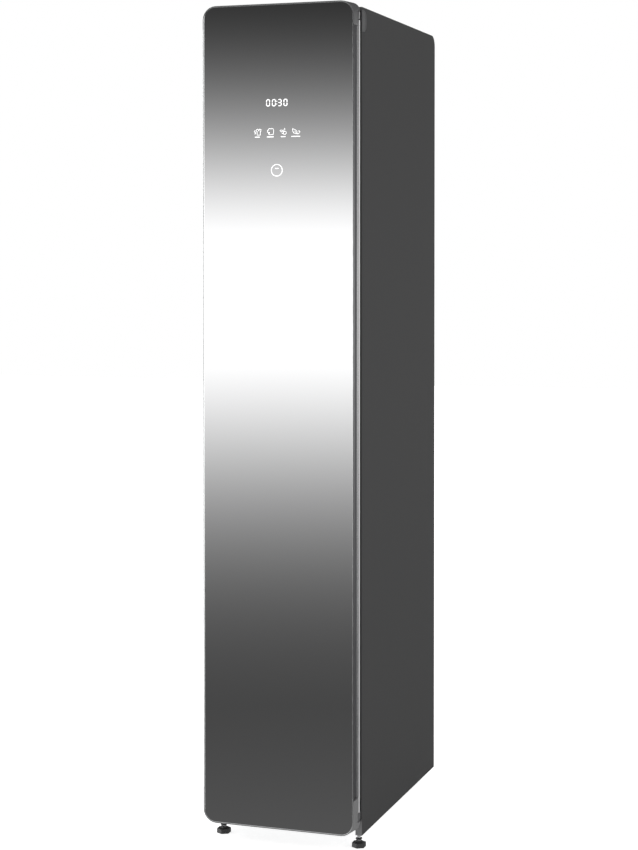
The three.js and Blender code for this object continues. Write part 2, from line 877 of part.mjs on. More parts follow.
function touchBoard() {
  const y = front + seatFront;
  const z0 = height - boardBottomDrop;
  const z1 = height - boardTopDrop;
  const board = block(-boardWidth / 2, boardWidth / 2, y, y + boardThickness, z0, z1);
  const chips = row(chipCount, chipPitch).map((z) => {
    const middle = (z0 + z1) / 2 + z;
    return block(
      -chipSize, chipSize, y, y + boardThickness + chipHeight, middle - chipSize / 2, middle + chipSize / 2,
    );
  });
  return join(board, ...chips);
}

// Hinge arm: a leaf on the cabinet's corner post, an arm, a round knuckle and a pin for the door's cap
// The upper leaf and pin point down from their knuckle, and the lower ones point up
function hingeArm(knuckleBottom, upper) {
  const knuckleTop = knuckleBottom + knuckleHeight;
  const toMiddle = leafHeight / 2 - leafOverKnuckle;
  const middle = upper ? knuckleTop - toMiddle : knuckleBottom + toMiddle;
  const leafBack = bodyFront - fit;
  const leafX = [postEdge + fit, side - fit];
  const reach = knuckleGap + pinReach;
  const screws = [-1, 1].map((hand) => {
    const head = disc((leafX[0] + leafX[1]) / 2, middle + hand * screwSpacing / 2, screwRadius, 12);
    return alongY(head, leafBack - leafThickness - screwHead, leafBack - leafThickness);
  });
  return join(
    block(...leafX, leafBack - leafThickness, leafBack, middle - leafHeight / 2, middle + leafHeight / 2),
    block(
      pivotX - armHalfWidth, pivotX + armHalfWidth, pivotY, leafBack - leafThickness / 2, knuckleBottom,
      knuckleTop,
    ),
    post(pivotX, pivotY, knuckleRadius, knuckleBottom, knuckleTop, 24),
    post(
      pivotX, pivotY, pinRadius, upper ? knuckleBottom - reach : knuckleBottom,
      upper ? knuckleTop : knuckleTop + reach, 20,
    ),
    ...screws,
  );
}

// Levelling foot: a faceted knob with a narrower neck, and a lock nut, on a threaded stud
function levellingFoot([x, y]) {
  const neckTop = knobHeight + neckHeight;
  const nutBottom = neckTop + nutLift;
  const knob = turned(x, y, [
    [0, 0], [knobRadius - knobBevel, 0], [knobRadius, knobBevel], [knobRadius, knobHeight - knobBevel],
    [knobRadius - knobBevel, knobHeight], [neckRadius, knobHeight], [neckRadius, neckTop], [0, neckTop],
  ], knobFacets);
  return join(
    knob,
    post(x, y, nutRadius, nutBottom, nutBottom + nutHeight, 6),
    post(x, y, studRadius, knobHeight, baseTop + studReach, 12),
  );
}

// Water tanks, which lift out of their well

const pocketWidth = ribbedEdge - wellWall - wellWall / 2;

function pocketOutline(hand, inset) {
  const near = wellWall / 2 + inset;
  const far = near + pocketWidth - 2 * inset;
  const [x0, x1] = hand > 0 ? [near, far] : [-far, -near];
  return roundedRect(
    x0, x1, wellFront + wellWall + inset, wellBack - wellWall - inset, tankRadius + tankPlay - inset,
  );
}

const tankMiddle = (hand) => hand * (wellWall / 2 + pocketWidth / 2);
const wellMiddle = (wellFront + wellBack) / 2;

function tankWell() {
  const top = chamberFloorTop - floorWall - fit;
  const body = block(-ribbedEdge, ribbedEdge, wellFront, wellBack, wellBottom, top);
  const pockets = [-1, 1].map(
    (hand) => alongZ(pocketOutline(hand, 0), wellBottom + wellWall, top + overrun),
  );
  const spigots = [-1, 1].map((hand) =>
    post(tankMiddle(hand), wellMiddle, spigotRadius, wellBottom - spigotLength, wellBottom + wellWall, 16));
  const bores = [-1, 1].map((hand) =>
    post(
      tankMiddle(hand), wellMiddle, spigotBore, wellBottom - spigotLength - overrun,
      wellBottom + wellWall + overrun, 16,
    ));
  return cut(join(body, ...spigots), ...pockets, ...bores);
}

function tank(hand) {
  const bottom = wellBottom + wellWall + fit;
  const top = chamberFloorTop + lidRise - fit;
  return cut(
    alongZ(pocketOutline(hand, tankPlay), bottom, top),
    alongZ(pocketOutline(hand, tankPlay + tankWall), bottom + tankWall, top + overrun),
  );
}

const lidTop = chamberFloorTop + lidRise + lidThickness;
const handlePivot = { y: wellMiddle - handleSetback, z: lidTop + handleLift + handleThickness / 2 };

function tankLid(hand) {
  const x = tankMiddle(hand);
  const rim = tankPlay - lidOverhang + fit;
  const lid = alongZ(pocketOutline(hand, rim + wellWall), chamberFloorTop + lidRise, lidTop);
  const { y, z } = handlePivot;
  const ears = [-1, 1].map((end) => {
    const inner = x + end * (handleSpan / 2 + fit);
    const outer = inner + end * earThickness;
    const ear = outline([
      [y - earRadius, lidTop - lidThickness / 2], [y + earRadius, lidTop - lidThickness / 2],
      [y + earRadius, z + earRadius, earRadius * flatShare],
      [y - earRadius, z + earRadius, earRadius * flatShare],
    ]);
    return alongX(ear, Math.min(inner, outer), Math.max(inner, outer), 4);
  });
  const reach = handleSpan / 2 + trunnionLength + overrun;
  const bore = alongX(disc(y, z, trunnionRadius + pinPlay, 16), x - reach, x + reach);
  const filler = post(x, wellBack - fillSetback, fillRadius, chamberFloorTop, lidTop + overrun, 24);
  return cut(join(lid, ...ears), bore, filler);
}

function tankHandle(hand) {
  const x = tankMiddle(hand);
  const { y, z } = handlePivot;
  const half = handleSpan / 2;
  const tail = handleThickness / 2;
  const loop = outline([
    [x - half, y - tail], [x - half + handleBar, y - tail],
    [x - half + handleBar, y + handleReach - handleBar, handleRadius / 2],
    [x + half - handleBar, y + handleReach - handleBar, handleRadius / 2], [x + half - handleBar, y - tail],
    [x + half, y - tail], [x + half, y + handleReach, handleRadius],
    [x - half, y + handleReach, handleRadius],
  ]);
  const pins = [-1, 1].map((end) => {
    const tip = x + end * (half + trunnionLength);
    const root = x + end * (half - handleBar / 2);
    return alongX(disc(y, z, trunnionRadius, 14), Math.min(tip, root), Math.max(tip, root));
  });
  return join(alongZ(loop, z - tail, z + tail, 4), ...pins);
}

// Lint filter in its housing behind the tanks

const filterTop = chamberFloorTop + fit + filterFlange;
const filterBottom = chamberFloorTop - floorWall - filterHeight;

function filterCassette() {
  const half = filterWidth / 2;
  const y0 = filterY - filterDepth / 2;
  const body = block(-half, half, y0, y0 + filterDepth, filterBottom, filterTop - filterFlange / 2);
  const rim = alongZ(
    roundedRect(
      -half - filterFlangeOver, half + filterFlangeOver, y0 - filterFlangeOver,
      y0 + filterDepth + filterFlangeOver, filterFlangeOver / 2,
    ),
    filterTop - filterFlange, filterTop,
  );
  const tab = alongY(
    outline([
      [-filterTabWidth / 2, filterTop - filterFlange / 2],
      [filterTabWidth / 2, filterTop - filterFlange / 2],
      [filterTabWidth / 2, filterTop + filterTabHeight, filterTabHeight / 2],
      [-filterTabWidth / 2, filterTop + filterTabHeight, filterTabHeight / 2],
    ]), filterY - filterFlange, filterY + filterFlange);
  const windowsTop = chamberFloorTop - floorWall - filterFrame;
  const cellWidth = (filterWidth - 2 * filterFrame + filterBar) / filterColumns;
  const cellHeight = (windowsTop - filterBottom - filterFrame + filterBar) / filterRows;
  const cells = [];
  for (let i = 0; i < filterColumns; i += 1) {
    for (let j = 0; j < filterRows; j += 1) {
      const x = filterFrame - half + i * cellWidth;
      const z = filterBottom + filterFrame + j * cellHeight;
      cells.push(block(
        x, x + cellWidth - filterBar, y0 - overrun, y0 + filterDepth + overrun, z,
        z + cellHeight - filterBar,
      ));
    }
  }
  const meshSlot = block(
    filterFrame / 2 - half, half - filterFrame / 2, filterY - meshThickness / 2 - fit,
    filterY + meshThickness / 2 + fit,
    filterBottom + filterFrame / 2, windowsTop + filterFrame / 2,
  );
  return cut(join(body, rim, tab), ...cells, meshSlot);
}

function filterMesh() {
  const half = filterWidth / 2 - filterFrame / 2 - fit;
  const windowsTop = chamberFloorTop - floorWall - filterFrame / 2;
  return block(
    -half, half, filterY - meshThickness / 2, filterY + meshThickness / 2,
    filterBottom + filterFrame / 2 + fit, windowsTop - fit,
  );
}

function filterHousing() {
  const halfX = filterWidth / 2 + filterPlay;
  const halfY = filterDepth / 2 + filterPlay;
  const top = chamberFloorTop - floorWall - fit;
  const bottom = filterBottom - fit - housingWall;
  const outer = block(
    -halfX - housingWall, halfX + housingWall, filterY - halfY - housingWall, filterY + halfY + housingWall,
    bottom, top,
  );
  const slot = block(-halfX, halfX, filterY - halfY, filterY + halfY, bottom + housingWall, top + overrun);
  const windowHalf = halfX - filterFrame;
  const window = block(
    -windowHalf, windowHalf, filterY - halfY - housingWall - overrun,
    filterY + halfY + housingWall + overrun,
    bottom + housingWall + filterFrame, top - filterFrame,
  );
  return cut(outer, slot, window);
}

// Steam outlet: a slotted cap on a spigot through the chamber floor

function steamNozzle() {
  const seat = chamberFloorTop + fit;
  const crown = chamberFloorTop + nozzleHeight;
  const shoulder = chamberFloorTop + nozzleHeight / 2;
  const crownRadius = nozzleRadius * nozzleCrownShare;
  const profile = [
    [nozzleBore, nozzleBottom], [nozzleBore + linerWall, nozzleBottom], [nozzleBore + linerWall, seat],
    [nozzleRadius, seat], [nozzleRadius, shoulder], [crownRadius, crown], [0, crown],
    [0, crown - linerWall],
    [crownRadius - linerWall, crown - linerWall], [nozzleRadius - linerWall, shoulder],
    [nozzleRadius - linerWall, seat + linerWall / 2], [nozzleBore, seat + linerWall / 2],
    [nozzleBore, nozzleBottom],
  ];
  const slotLength = crownRadius - linerWall - nozzleBore;
  const slots = Array.from({ length: nozzleSlots }, (_, i) => {
    const slot = new THREE.BoxGeometry(slotLength, nozzleSlotWidth, 2 * linerWall);
    slot.translate(nozzleBore + linerWall / 2 + slotLength / 2, 0, crown - linerWall / 2);
    slot.rotateZ((i / nozzleSlots) * 2 * Math.PI);
    return solid(slot.translate(nozzleX, nozzleY, 0));
  });
  return cut(turned(nozzleX, nozzleY, profile), ...slots);
}
const nozzleBottom = chamberFloorTop - floorWall - linerWall * 2;

// Steam generator and water pump

const boilerBottom = baseTop + fit + boilerLegHeight;
const boilerTop = boilerBottom + boilerHeight;

function steamGenerator() {
  const shellProfile = [
    [0, boilerBottom], [boilerRadius, boilerBottom], [boilerRadius, boilerTop - boilerDome - boilerFlange],
    [boilerFlangeRadius, boilerTop - boilerDome - boilerFlange],
    [boilerFlangeRadius, boilerTop - boilerDome],
    [boilerRadius, boilerTop - boilerDome], [boilerRadius - boilerDome, boilerTop],
    [outletRadius, boilerTop], [outletRadius, boilerTop + outletHeight], [0, boilerTop + outletHeight],
  ];
  const legs = Array.from({ length: boilerLegs }, (_, i) => {
    const turn = (i / boilerLegs) * 2 * Math.PI;
    const reach = boilerRadius - boilerLegRadius;
    return post(
      nozzleX + reach * Math.cos(turn), nozzleY + reach * Math.sin(turn), boilerLegRadius, baseTop + fit,
      boilerBottom + overrun, 12,
    );
  });
  return join(turned(nozzleX, nozzleY, shellProfile, 24), ...legs);
}

function steamPipe() {
  return turned(nozzleX, nozzleY, [
    [steamPipeRadius - steamPipeWall, boilerTop + outletHeight + fit],
    [steamPipeRadius, boilerTop + outletHeight + fit],
    [steamPipeRadius, nozzleBottom - fit],
    [steamPipeRadius - steamPipeWall, nozzleBottom - fit],
    [steamPipeRadius - steamPipeWall, boilerTop + outletHeight + fit],
  ], 20);
}

const pumpAxis = baseTop + fit + pumpFoot + pumpBodyHeight / 2;

function waterPump() {
  const half = pumpBodyWidth / 2;
  const y0 = pumpY - pumpBodyLength / 2;
  const foot = alongZ(
    roundedRect(pumpX - half, pumpX + half, y0, y0 + pumpBodyLength, pumpFoot),
    baseTop + fit, baseTop + fit + pumpFoot,
  );
  const body = alongY(
    roundedRect(
      pumpX - half + pumpFoot, pumpX + half - pumpFoot, baseTop + pumpFoot, pumpAxis + pumpBodyHeight / 2,
      pumpFoot,
    ), y0 + pumpFoot, y0 + pumpBodyLength - pumpFoot, 3,
  );
  const motorEnd = y0 - pumpMotorLength + pumpBodyLength / 2;
  const motor = alongY(disc(pumpX, pumpAxis, pumpMotorRadius, 20), motorEnd, pumpY);
  const port = post(
    pumpX, pumpY, pumpPortRadius, pumpAxis, pumpAxis + pumpBodyHeight / 2 + spigotLength, 14,
  );
  return join(foot, body, motor, port);
}

// The hose runs from the pump's port to the steam generator's side
function waterHose() {
  const start = pumpAxis + pumpBodyHeight / 2 + spigotLength + fit;
  const end = nozzleY - boilerRadius - fit;
  const high = start + pumpBodyHeight / 2;
  const middle = (pumpY + end) / 2;
  return tube([
    [pumpX, pumpY, start], [pumpX, pumpY, start + hoseRadius],
    [(pumpX + nozzleX) / 2, middle, high], [nozzleX, end - hoseRadius, boilerEntry],
    [nozzleX, end, boilerEntry],
  ], hoseRadius, hoseRadius - hoseWall, 12, 8);
}
const boilerEntry = boilerBottom + boilerHeight / 2;

// Circulation blower: a curved-blade wheel turning in a scroll housing, with its motor and heater

const wheelEnd = blowerX + wheelWidth / 2;
const wheelStart = blowerX - wheelWidth / 2;

function blowerWheel() {
  const outer = disc(blowerY, blowerZ, wheelRadius, 36);
  const plate = alongX(outer, wheelStart, wheelStart + wheelDisc);
  const rim = disc(blowerY, blowerZ, wheelRadius, 36);
  rim.holes.push(
    new THREE.Path(disc(blowerY, blowerZ, wheelRadius - bladeDepth * bladeLeanShare, 36).getPoints()),
  );
  const ring = alongX(rim, wheelEnd - wheelRing, wheelEnd);
  const hub = alongX(disc(blowerY, blowerZ, hubRadius, 24), wheelStart, wheelStart + hubLength);
  const bore = alongX(
    disc(blowerY, blowerZ, shaftRadius + pinPlay, 20), wheelStart - overrun,
    wheelStart + hubLength - wheelDisc,
  );
  const inner = wheelRadius - bladeDepth;
  const blades = Array.from({ length: wheelBlades }, (_, i) => {
    const turn = (i / wheelBlades) * 2 * Math.PI;
    const lean = (bladeDepth / wheelRadius) * bladeLeanShare;
    const at = (radius, angle, shift) => [
      blowerY + radius * Math.cos(angle) - shift * Math.sin(angle),
      blowerZ + radius * Math.sin(angle) + shift * Math.cos(angle),
    ];
    const middle = (inner + wheelRadius) / 2;
    const blade = outline([
      at(inner, turn, 0), at(middle, turn + lean / 4, 0), at(wheelRadius - pinPlay, turn + lean, 0),
      at(wheelRadius - pinPlay, turn + lean, bladeThickness), at(middle, turn + lean / 4, bladeThickness),
      at(inner, turn, bladeThickness),
    ]);
    return alongX(blade, wheelStart + wheelDisc / 2, wheelEnd - wheelRing / 2);
  });
  return cut(join(plate, ring, hub, ...blades), bore);
}

// The scroll's radius grows steadily from its tongue round to the outlet, which opens upwards at the rear
function scrollOutline(grow, rise) {
  const shape = new THREE.Shape();
  const start = wheelRadius + scrollGap + grow;
  const points = Array.from({ length: scrollSteps + 1 }, (_, i) => {
    const share = i / scrollSteps;
    const angle = (scrollTongueTurns + share * (1 - scrollTongueTurns)) * 2 * Math.PI;
    const radius = start + scrollGrowth * share;
    return new THREE.Vector2(blowerY + radius * Math.cos(angle), blowerZ + radius * Math.sin(angle));
  });
  const rear = points.at(-1);
  const frontEdge = rear.x - throatDepth - 2 * grow;
  points.push(new THREE.Vector2(rear.x, throatTop + rise), new THREE.Vector2(frontEdge, throatTop + rise));
  points.push(new THREE.Vector2(frontEdge, points[0].y + grow));
  shape.setFromPoints(points);
  return shape;
}
const throatTop = chamberFloorTop - floorWall - heaterHeight - 2 * fit;
const scrollStart = wheelStart - scrollSide - scrollWall;
const scrollEnd = wheelEnd + scrollSide + scrollWall;

function blowerHousing() {
  const outer = alongX(scrollOutline(scrollWall, 0), scrollStart, scrollEnd);
  const inner = alongX(scrollOutline(0, overrun), scrollStart + scrollWall, scrollEnd - scrollWall);
  const inlet = alongX(
    disc(blowerY, blowerZ, inletRadius, 32), scrollEnd - scrollWall - overrun, scrollEnd + overrun,
  );
  const shaftHole = alongX(
    disc(blowerY, blowerZ, hubRadius, 20), scrollStart - overrun, scrollStart + scrollWall + overrun,
  );
  const footTop = blowerZ - wheelRadius - scrollGap;
  const half = blowerFootLength / 2;
  const stand = alongX(outline([
    [blowerY - half, baseTop + fit], [blowerY + half, baseTop + fit],
    [blowerY + half, baseTop + fit + blowerFootThickness], [blowerY + half / 2, footTop],
    [blowerY - half / 2, footTop], [blowerY - half, baseTop + fit + blowerFootThickness],
  ]), scrollStart, scrollEnd);
  return cut(join(outer, stand), inner, inlet, shaftHole);
}

function blowerMotor() {
  const end = scrollStart - fit;
  const start = end - motorLength;
  const can = alongX(disc(blowerY, blowerZ, motorRadius, 32), start + motorRound, end);
  const bell = alongX(disc(blowerY, blowerZ, motorRadius - motorRound, 32), start, start + motorRound);
  const bosses = Array.from({ length: boilerLegs }, (_, i) => {
    const turn = (i / boilerLegs) * 2 * Math.PI;
    const place = [blowerY + motorBoltRing * Math.cos(turn), blowerZ + motorBoltRing * Math.sin(turn)];
    return alongX(
      disc(...place, motorRound, 12), start + motorRound - screwHead, start + motorRound + overrun,
    );
  });
  const shaft = alongX(
    disc(blowerY, blowerZ, shaftRadius, 20), end - overrun, wheelStart + hubLength - wheelDisc - fit,
  );
  return join(can, bell, shaft, ...bosses);
}

// Finned heater seated on the blower's mouth, under the air duct
function airHeater() {
  const points = scrollOutline(scrollWall, 0).getPoints();
  const top = points.filter((p) => p.y > throatTop - fit);
  const y0 = Math.min(...top.map((p) => p.x));
  const y1 = Math.max(...top.map((p) => p.x));
  const z0 = throatTop + fit;
  const z1 = z0 + heaterHeight - fit;
  const frame = block(scrollStart, scrollEnd, y0, y1, z0, z1);
  const hollow = block(
    scrollStart + heaterFrame, scrollEnd - heaterFrame, y0 + heaterFrame, y1 - heaterFrame, z0 - overrun,
    z1 + overrun,
  );
  const pitch = (scrollEnd - scrollStart - 2 * heaterFrame) / (heaterFins + 1);
  const middle = (scrollStart + scrollEnd) / 2;
  const fins = row(heaterFins, pitch).map((x) => block(
    middle + x - heaterFinThickness / 2, middle + x + heaterFinThickness / 2, y0 + heaterFrame / 2,
    y1 - heaterFrame / 2,
    z0 + heaterFrame, z1 - heaterFrame,
  ));
  return join(cut(frame, hollow), ...fins);
}

// Electrics

function controlBoard() {
  const top = chamberCeiling + linerWall + fit;
  const z0 = top + controlBoardLift;
  const y0 = linerFront + controlBoardFromFront;
  const y1 = y0 + controlBoardLength;
  const half = controlBoardWidth / 2;
  const board = block(-half, half, y0, y1, z0, z0 + boardThickness);
  const standoffs = [-1, 1].flatMap((a) => [y0 + 2 * standoffRadius, y1 - 2 * standoffRadius].map((y) =>
    post(a * (half - 2 * standoffRadius), y, standoffRadius, top, z0 + boardThickness / 2, 12)));
  const relays = row(3, relayPitch).map((x) => block(
    x - relaySize / 2, x + relaySize / 2, y0 + relaySize / 2, y0 + 3 * relaySize / 2, z0,
    z0 + boardThickness + relayHeight,
  ));
  const fins = row(heatSinkFins, heatSinkPitch).map((x) => block(
    x - heatSinkFin / 2, x + heatSinkFin / 2, y1 - 2 * relaySize, y1 - relaySize / 2, z0,
    z0 + boardThickness + heatSinkHeight,
  ));
  return join(board, ...standoffs, ...relays, ...fins);
}

const inletZ = baseTop + inletRise;

function inletOpening() {
  const halfX = inletSocketWidth / 2 + inletWall + fit;
  const halfZ = inletSocketHeight / 2 + inletWall + fit;
  return block(
    inletX - halfX, inletX + halfX, bodyBack - sheet - overrun, bodyBack + overrun, inletZ - halfZ,
    inletZ + halfZ,
  );
}

// Mains inlet: a flanged socket let into the back panel, with two cut corners on its mouth
function powerInlet() {
  const mouth = (grow) => {
    const [x, z] = [inletSocketWidth / 2 + grow, inletSocketHeight / 2 + grow];
    return outline([
      [inletX - x, inletZ - z], [inletX + x, inletZ - z], [inletX + x, inletZ + z - inletChamfer],
      [inletX + x - inletChamfer, inletZ + z], [inletX - x + inletChamfer, inletZ + z],
      [inletX - x, inletZ + z - inletChamfer],
    ]);
  };
  const shell = alongY(mouth(inletWall), bodyBack - sheet - inletDepth, bodyBack - sheet / 2);
  const flangePlate = alongY(roundedRect(
    inletX - inletPlateWidth / 2, inletX + inletPlateWidth / 2, inletZ - inletPlateHeight / 2,
    inletZ + inletPlateHeight / 2, inletWall,
  ), bodyBack - sheet - fit - inletPlate, bodyBack - sheet - fit);
  const hollow = alongY(mouth(0), bodyBack - sheet - inletDepth + inletWall, bodyBack + overrun);
  return cut(join(shell, flangePlate), hollow);
}

// The assembly

const cabinet = new THREE.Group();
const door = new THREE.Group();
const supplyTank = new THREE.Group();
const drainTank = new THREE.Group();
const lintFilter = new THREE.Group();
cabinet.add(door, supplyTank, drainTank, lintFilter);

function add(name, body, material, group = cabinet) {
  const mesh = new THREE.Mesh(surface(body), material);
  mesh.name = name;
  group.add(mesh);
}

add('side_panel_left', mirrored(sidePanel()), materials.casing);
add('side_panel_right', rightSidePanel(), materials.casing);
add('top_panel', topPanel(), materials.casing);
add('back_panel', backPanel(), materials.steel);
add('base_pan', basePan(), materials.steel);
add('machine_cover', machineCover(), materials.casing);
add('hinge_cover', hingeCover(), materials.cap);

add('front_frame', frontFrame(), materials.liner);
add('chamber_wall_left', mirrored(chamberWall()), materials.liner);
add('chamber_wall_right', chamberWall(), materials.liner);
add('chamber_ceiling', chamberCeilingPanel(), materials.liner);
add('chamber_floor', chamberFloor(), materials.liner);
add('rear_duct_panel', rearDuctPanel(), materials.liner);
add('chamber_light_lens', lampLens(), materials.lamp);
add('hanging_rail', hangingRail(), materials.trim);
add('rail_cradle_left', mirrored(railCradle()), materials.cap);
add('rail_cradle_right', railCradle(), materials.cap);

add('upper_hinge_arm', hingeArm(upperKnuckleTop - knuckleHeight, true), materials.trim);
add('lower_hinge_arm', hingeArm(lowerKnuckleBottom, false), materials.trim);
add('door_glass', doorGlass(), materials.glass, door);
add('door_rail_left', mirrored(doorRail()), materials.rail, door);
add('door_rail_right', doorRail(), materials.rail, door);
add(
  'door_top_cap', doorCap(railTop + fit, height, railTop + fit, upperKnuckleTop - knuckleHeight),
  materials.cap, door,
);
add(
  'door_bottom_cap', doorCap(doorBottom, railBottom - fit, railBottom - fit, lowerKnuckleBottom),
  materials.cap, door,
);
add('door_trim_left', mirrored(trimStrip()), materials.trim, door);
add('door_trim_right', trimStrip(), materials.trim, door);
add('door_liner', doorLiner(), materials.liner, door);
add('door_gasket', doorGasket(), materials.gasket, door);
add('door_lower_pad', lowerPad(), materials.black, door);
add('touch_board', touchBoard(), materials.board, door);

add('tank_well', tankWell(), materials.cap);
for (const [name, hand, group] of [['supply', 1, supplyTank], ['drain', -1, drainTank]]) {
  add(`${name}_tank`, tank(hand), materials.tank, group);
  add(`${name}_tank_lid`, tankLid(hand), materials.cap, group);
  add(`${name}_tank_handle`, tankHandle(hand), materials.black, group);
}
add('filter_housing', filterHousing(), materials.black);
add('lint_filter_frame', filterCassette(), materials.cap, lintFilter);
add('lint_filter_mesh', filterMesh(), materials.mesh, lintFilter);

add('steam_nozzle', steamNozzle(), materials.cap);
add('steam_pipe', steamPipe(), materials.black);
add('steam_generator', steamGenerator(), materials.steel);
add('water_pump', waterPump(), materials.black);
add('water_hose', waterHose(), materials.tank);
add('blower_housing', blowerHousing(), materials.black);
add('blower_wheel', blowerWheel(), materials.mesh);
add('blower_motor', blowerMotor(), materials.steel);
add('air_heater', airHeater(), materials.steel);
add('control_board', controlBoard(), materials.board);
add('power_inlet', powerInlet(), materials.black);

for (const [name, place] of Object.entries(footPlaces)) {
  add(`levelling_foot_${name}`, levellingFoot(place), materials.black);
}

export default cabinet;
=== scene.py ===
"""The looks of a slim clothes care steam cabinet: finishes, rounded edges, lit display and studio."""

import json
import math

import bmesh
import bpy
from mathutils import Matrix, Vector


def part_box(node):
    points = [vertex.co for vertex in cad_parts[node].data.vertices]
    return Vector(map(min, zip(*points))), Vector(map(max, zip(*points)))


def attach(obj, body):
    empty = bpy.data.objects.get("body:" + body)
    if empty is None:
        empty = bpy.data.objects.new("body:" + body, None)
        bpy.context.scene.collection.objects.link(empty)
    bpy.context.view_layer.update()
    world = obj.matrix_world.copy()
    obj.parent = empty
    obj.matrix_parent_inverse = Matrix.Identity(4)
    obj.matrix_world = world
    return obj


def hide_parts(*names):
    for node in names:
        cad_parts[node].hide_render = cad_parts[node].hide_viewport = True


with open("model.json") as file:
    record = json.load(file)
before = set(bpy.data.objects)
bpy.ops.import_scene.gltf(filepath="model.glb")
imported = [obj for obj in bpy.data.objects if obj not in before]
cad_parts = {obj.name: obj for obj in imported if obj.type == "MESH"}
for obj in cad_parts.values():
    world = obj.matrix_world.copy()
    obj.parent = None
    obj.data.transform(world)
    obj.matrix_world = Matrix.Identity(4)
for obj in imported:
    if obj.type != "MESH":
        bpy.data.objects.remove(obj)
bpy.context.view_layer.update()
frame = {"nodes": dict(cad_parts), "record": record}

MM = 0.001
TAU = 2 * math.pi
scene = bpy.context.scene
BODIES = frame["record"]["behaviour"]["bodies"]
NODE_BODY = {node: body for body, nodes in BODIES.items() for node in nodes}
NODE_SLOT = {row["node"]: row["material_slot"] for row in frame["record"]["subparts"]}

# Camera of the photograph, in the model's frame: at chest height, almost level, its picture shifted down

CAMERA_PLACE = (1.4148, -4.1589, 1.3021)
CAMERA_TURN = math.radians(18.98)
CAMERA_TILT = math.radians(-1.15)
FOCAL_PIXELS = 1878.3
PHOTO_HEIGHT = 850
LENS_AXIS_ROW = 293.5
SENSOR = 36.0
CLIP_START = 0.05
CLIP_END = 100


def make_camera():
    data = bpy.data.cameras.new("camera")
    data.sensor_width = SENSOR
    data.lens = FOCAL_PIXELS * SENSOR / PHOTO_HEIGHT
    data.shift_y = (LENS_AXIS_ROW - PHOTO_HEIGHT / 2) / PHOTO_HEIGHT
    data.clip_start = CLIP_START
    data.clip_end = CLIP_END
    camera = bpy.data.objects.new("camera", data)
    scene.collection.objects.link(camera)
    camera.location = CAMERA_PLACE
    camera.rotation_euler = (math.pi / 2 + CAMERA_TILT, 0, CAMERA_TURN)
    scene.camera = camera


# Materials. Noise mostly lies between the first two numbers, and texture scales are per metre

NOISE_LOW = 0.3
NOISE_HIGH = 0.7
ALONG_RAIL = (12, 2500, 2500)
SLOW_RIPPLE = (3.0, 3.0, 1.6)
WEAVE_SCALE = 0.25 / MM
WHITE = (1, 1, 1, 1)
# Heights between which the paint of the front posts turns dark, from painted light below the door to a
# weaker painted light above it
POST_PAINTED_LIGHT_BELOW = 0.062
POST_PAINTED_LIGHT_FADED_ABOVE = 0.072


class Finish:
    """A Principled material whose colour, roughness and bump come from procedural nodes."""

    def __init__(self, name, color, roughness, metallic=0.0, **sockets):
        self.material = bpy.data.materials.new(name)
        self.material.use_nodes = True
        self.nodes = self.material.node_tree.nodes
        self.links = self.material.node_tree.links
        self.shader = self.nodes["Principled BSDF"]
        self.color = color
        self.roughness = roughness
        self.place = self.nodes.new("ShaderNodeTexCoord").outputs["Object"]
        sockets.update(Base_Color=(*color, 1), Roughness=roughness, Metallic=metallic)
        for socket, value in sockets.items():
            self.shader.inputs[socket.replace("_", " ")].default_value = value

    def stretched(self, scale):
        mapping = self.nodes.new("ShaderNodeMapping")
        mapping.inputs["Scale"].default_value = scale
        self.links.new(self.place, mapping.inputs["Vector"])
        return mapping.outputs["Vector"]

    def noise(self, scale, detail=2):
        node = self.nodes.new("ShaderNodeTexNoise")
        node.inputs["Scale"].default_value = 1.0
        node.inputs["Detail"].default_value = detail
        self.links.new(self.stretched(scale), node.inputs["Vector"])
        return node.outputs["Fac"]

    def cells(self, scale):
        node = self.nodes.new("ShaderNodeTexVoronoi")
        node.inputs["Scale"].default_value = 1.0
        self.links.new(self.stretched(scale), node.inputs["Vector"])
        return node.outputs["Color"]

    def color_between(self, source, low, high, stops=(0.0, 1.0)):
        """Runs the base colour from one colour to another with a texture's value."""
        ramp = self.nodes.new("ShaderNodeValToRGB")
        for stop, place, color in zip(ramp.color_ramp.elements, stops, (low, high)):
            stop.position = place
            stop.color = (*(min(channel, 1) for channel in color), 1)
        self.links.new(source, ramp.inputs["Fac"])
        self.links.new(ramp.outputs["Color"], self.shader.inputs["Base Color"])
        return self

    def vary_color(self, source, amount):
        darker = [channel * (1 - amount) for channel in self.color]
        lighter = [channel * (1 + amount) for channel in self.color]
        return self.color_between(source, darker, lighter, (NOISE_LOW, NOISE_HIGH))

    def vary_roughness(self, source, amount):
        spread = self.nodes.new("ShaderNodeMapRange")
        spread.inputs["From Min"].default_value = NOISE_LOW
        spread.inputs["From Max"].default_value = NOISE_HIGH
        spread.inputs["To Min"].default_value = self.roughness - amount
        spread.inputs["To Max"].default_value = self.roughness + amount
        self.links.new(source, spread.inputs["Value"])
        self.links.new(spread.outputs["Result"], self.shader.inputs["Roughness"])
        return self

    def bump(self, source, height):
        node = self.nodes.new("ShaderNodeBump")
        node.inputs["Distance"].default_value = height
        node.inputs["Strength"].default_value = 1.0
        self.links.new(source, node.inputs["Height"])
        self.links.new(node.outputs["Normal"], self.shader.inputs["Normal"])
        return self


def grain(per_millimetre):
    """Texture scale for an even grain."""
    return [per_millimetre / MM] * 3


def along_z(across, length):
    """Texture scale for streaks that run up the part, with their width and length in metres."""
    return (1 / across, 1 / across, 1 / length)


DRAWN_TONE = along_z(0.0006, 0.12)
DRAWN_SHINE = along_z(0.0005, 0.08)
DRAWN_RELIEF = along_z(0.0004, 0.1)


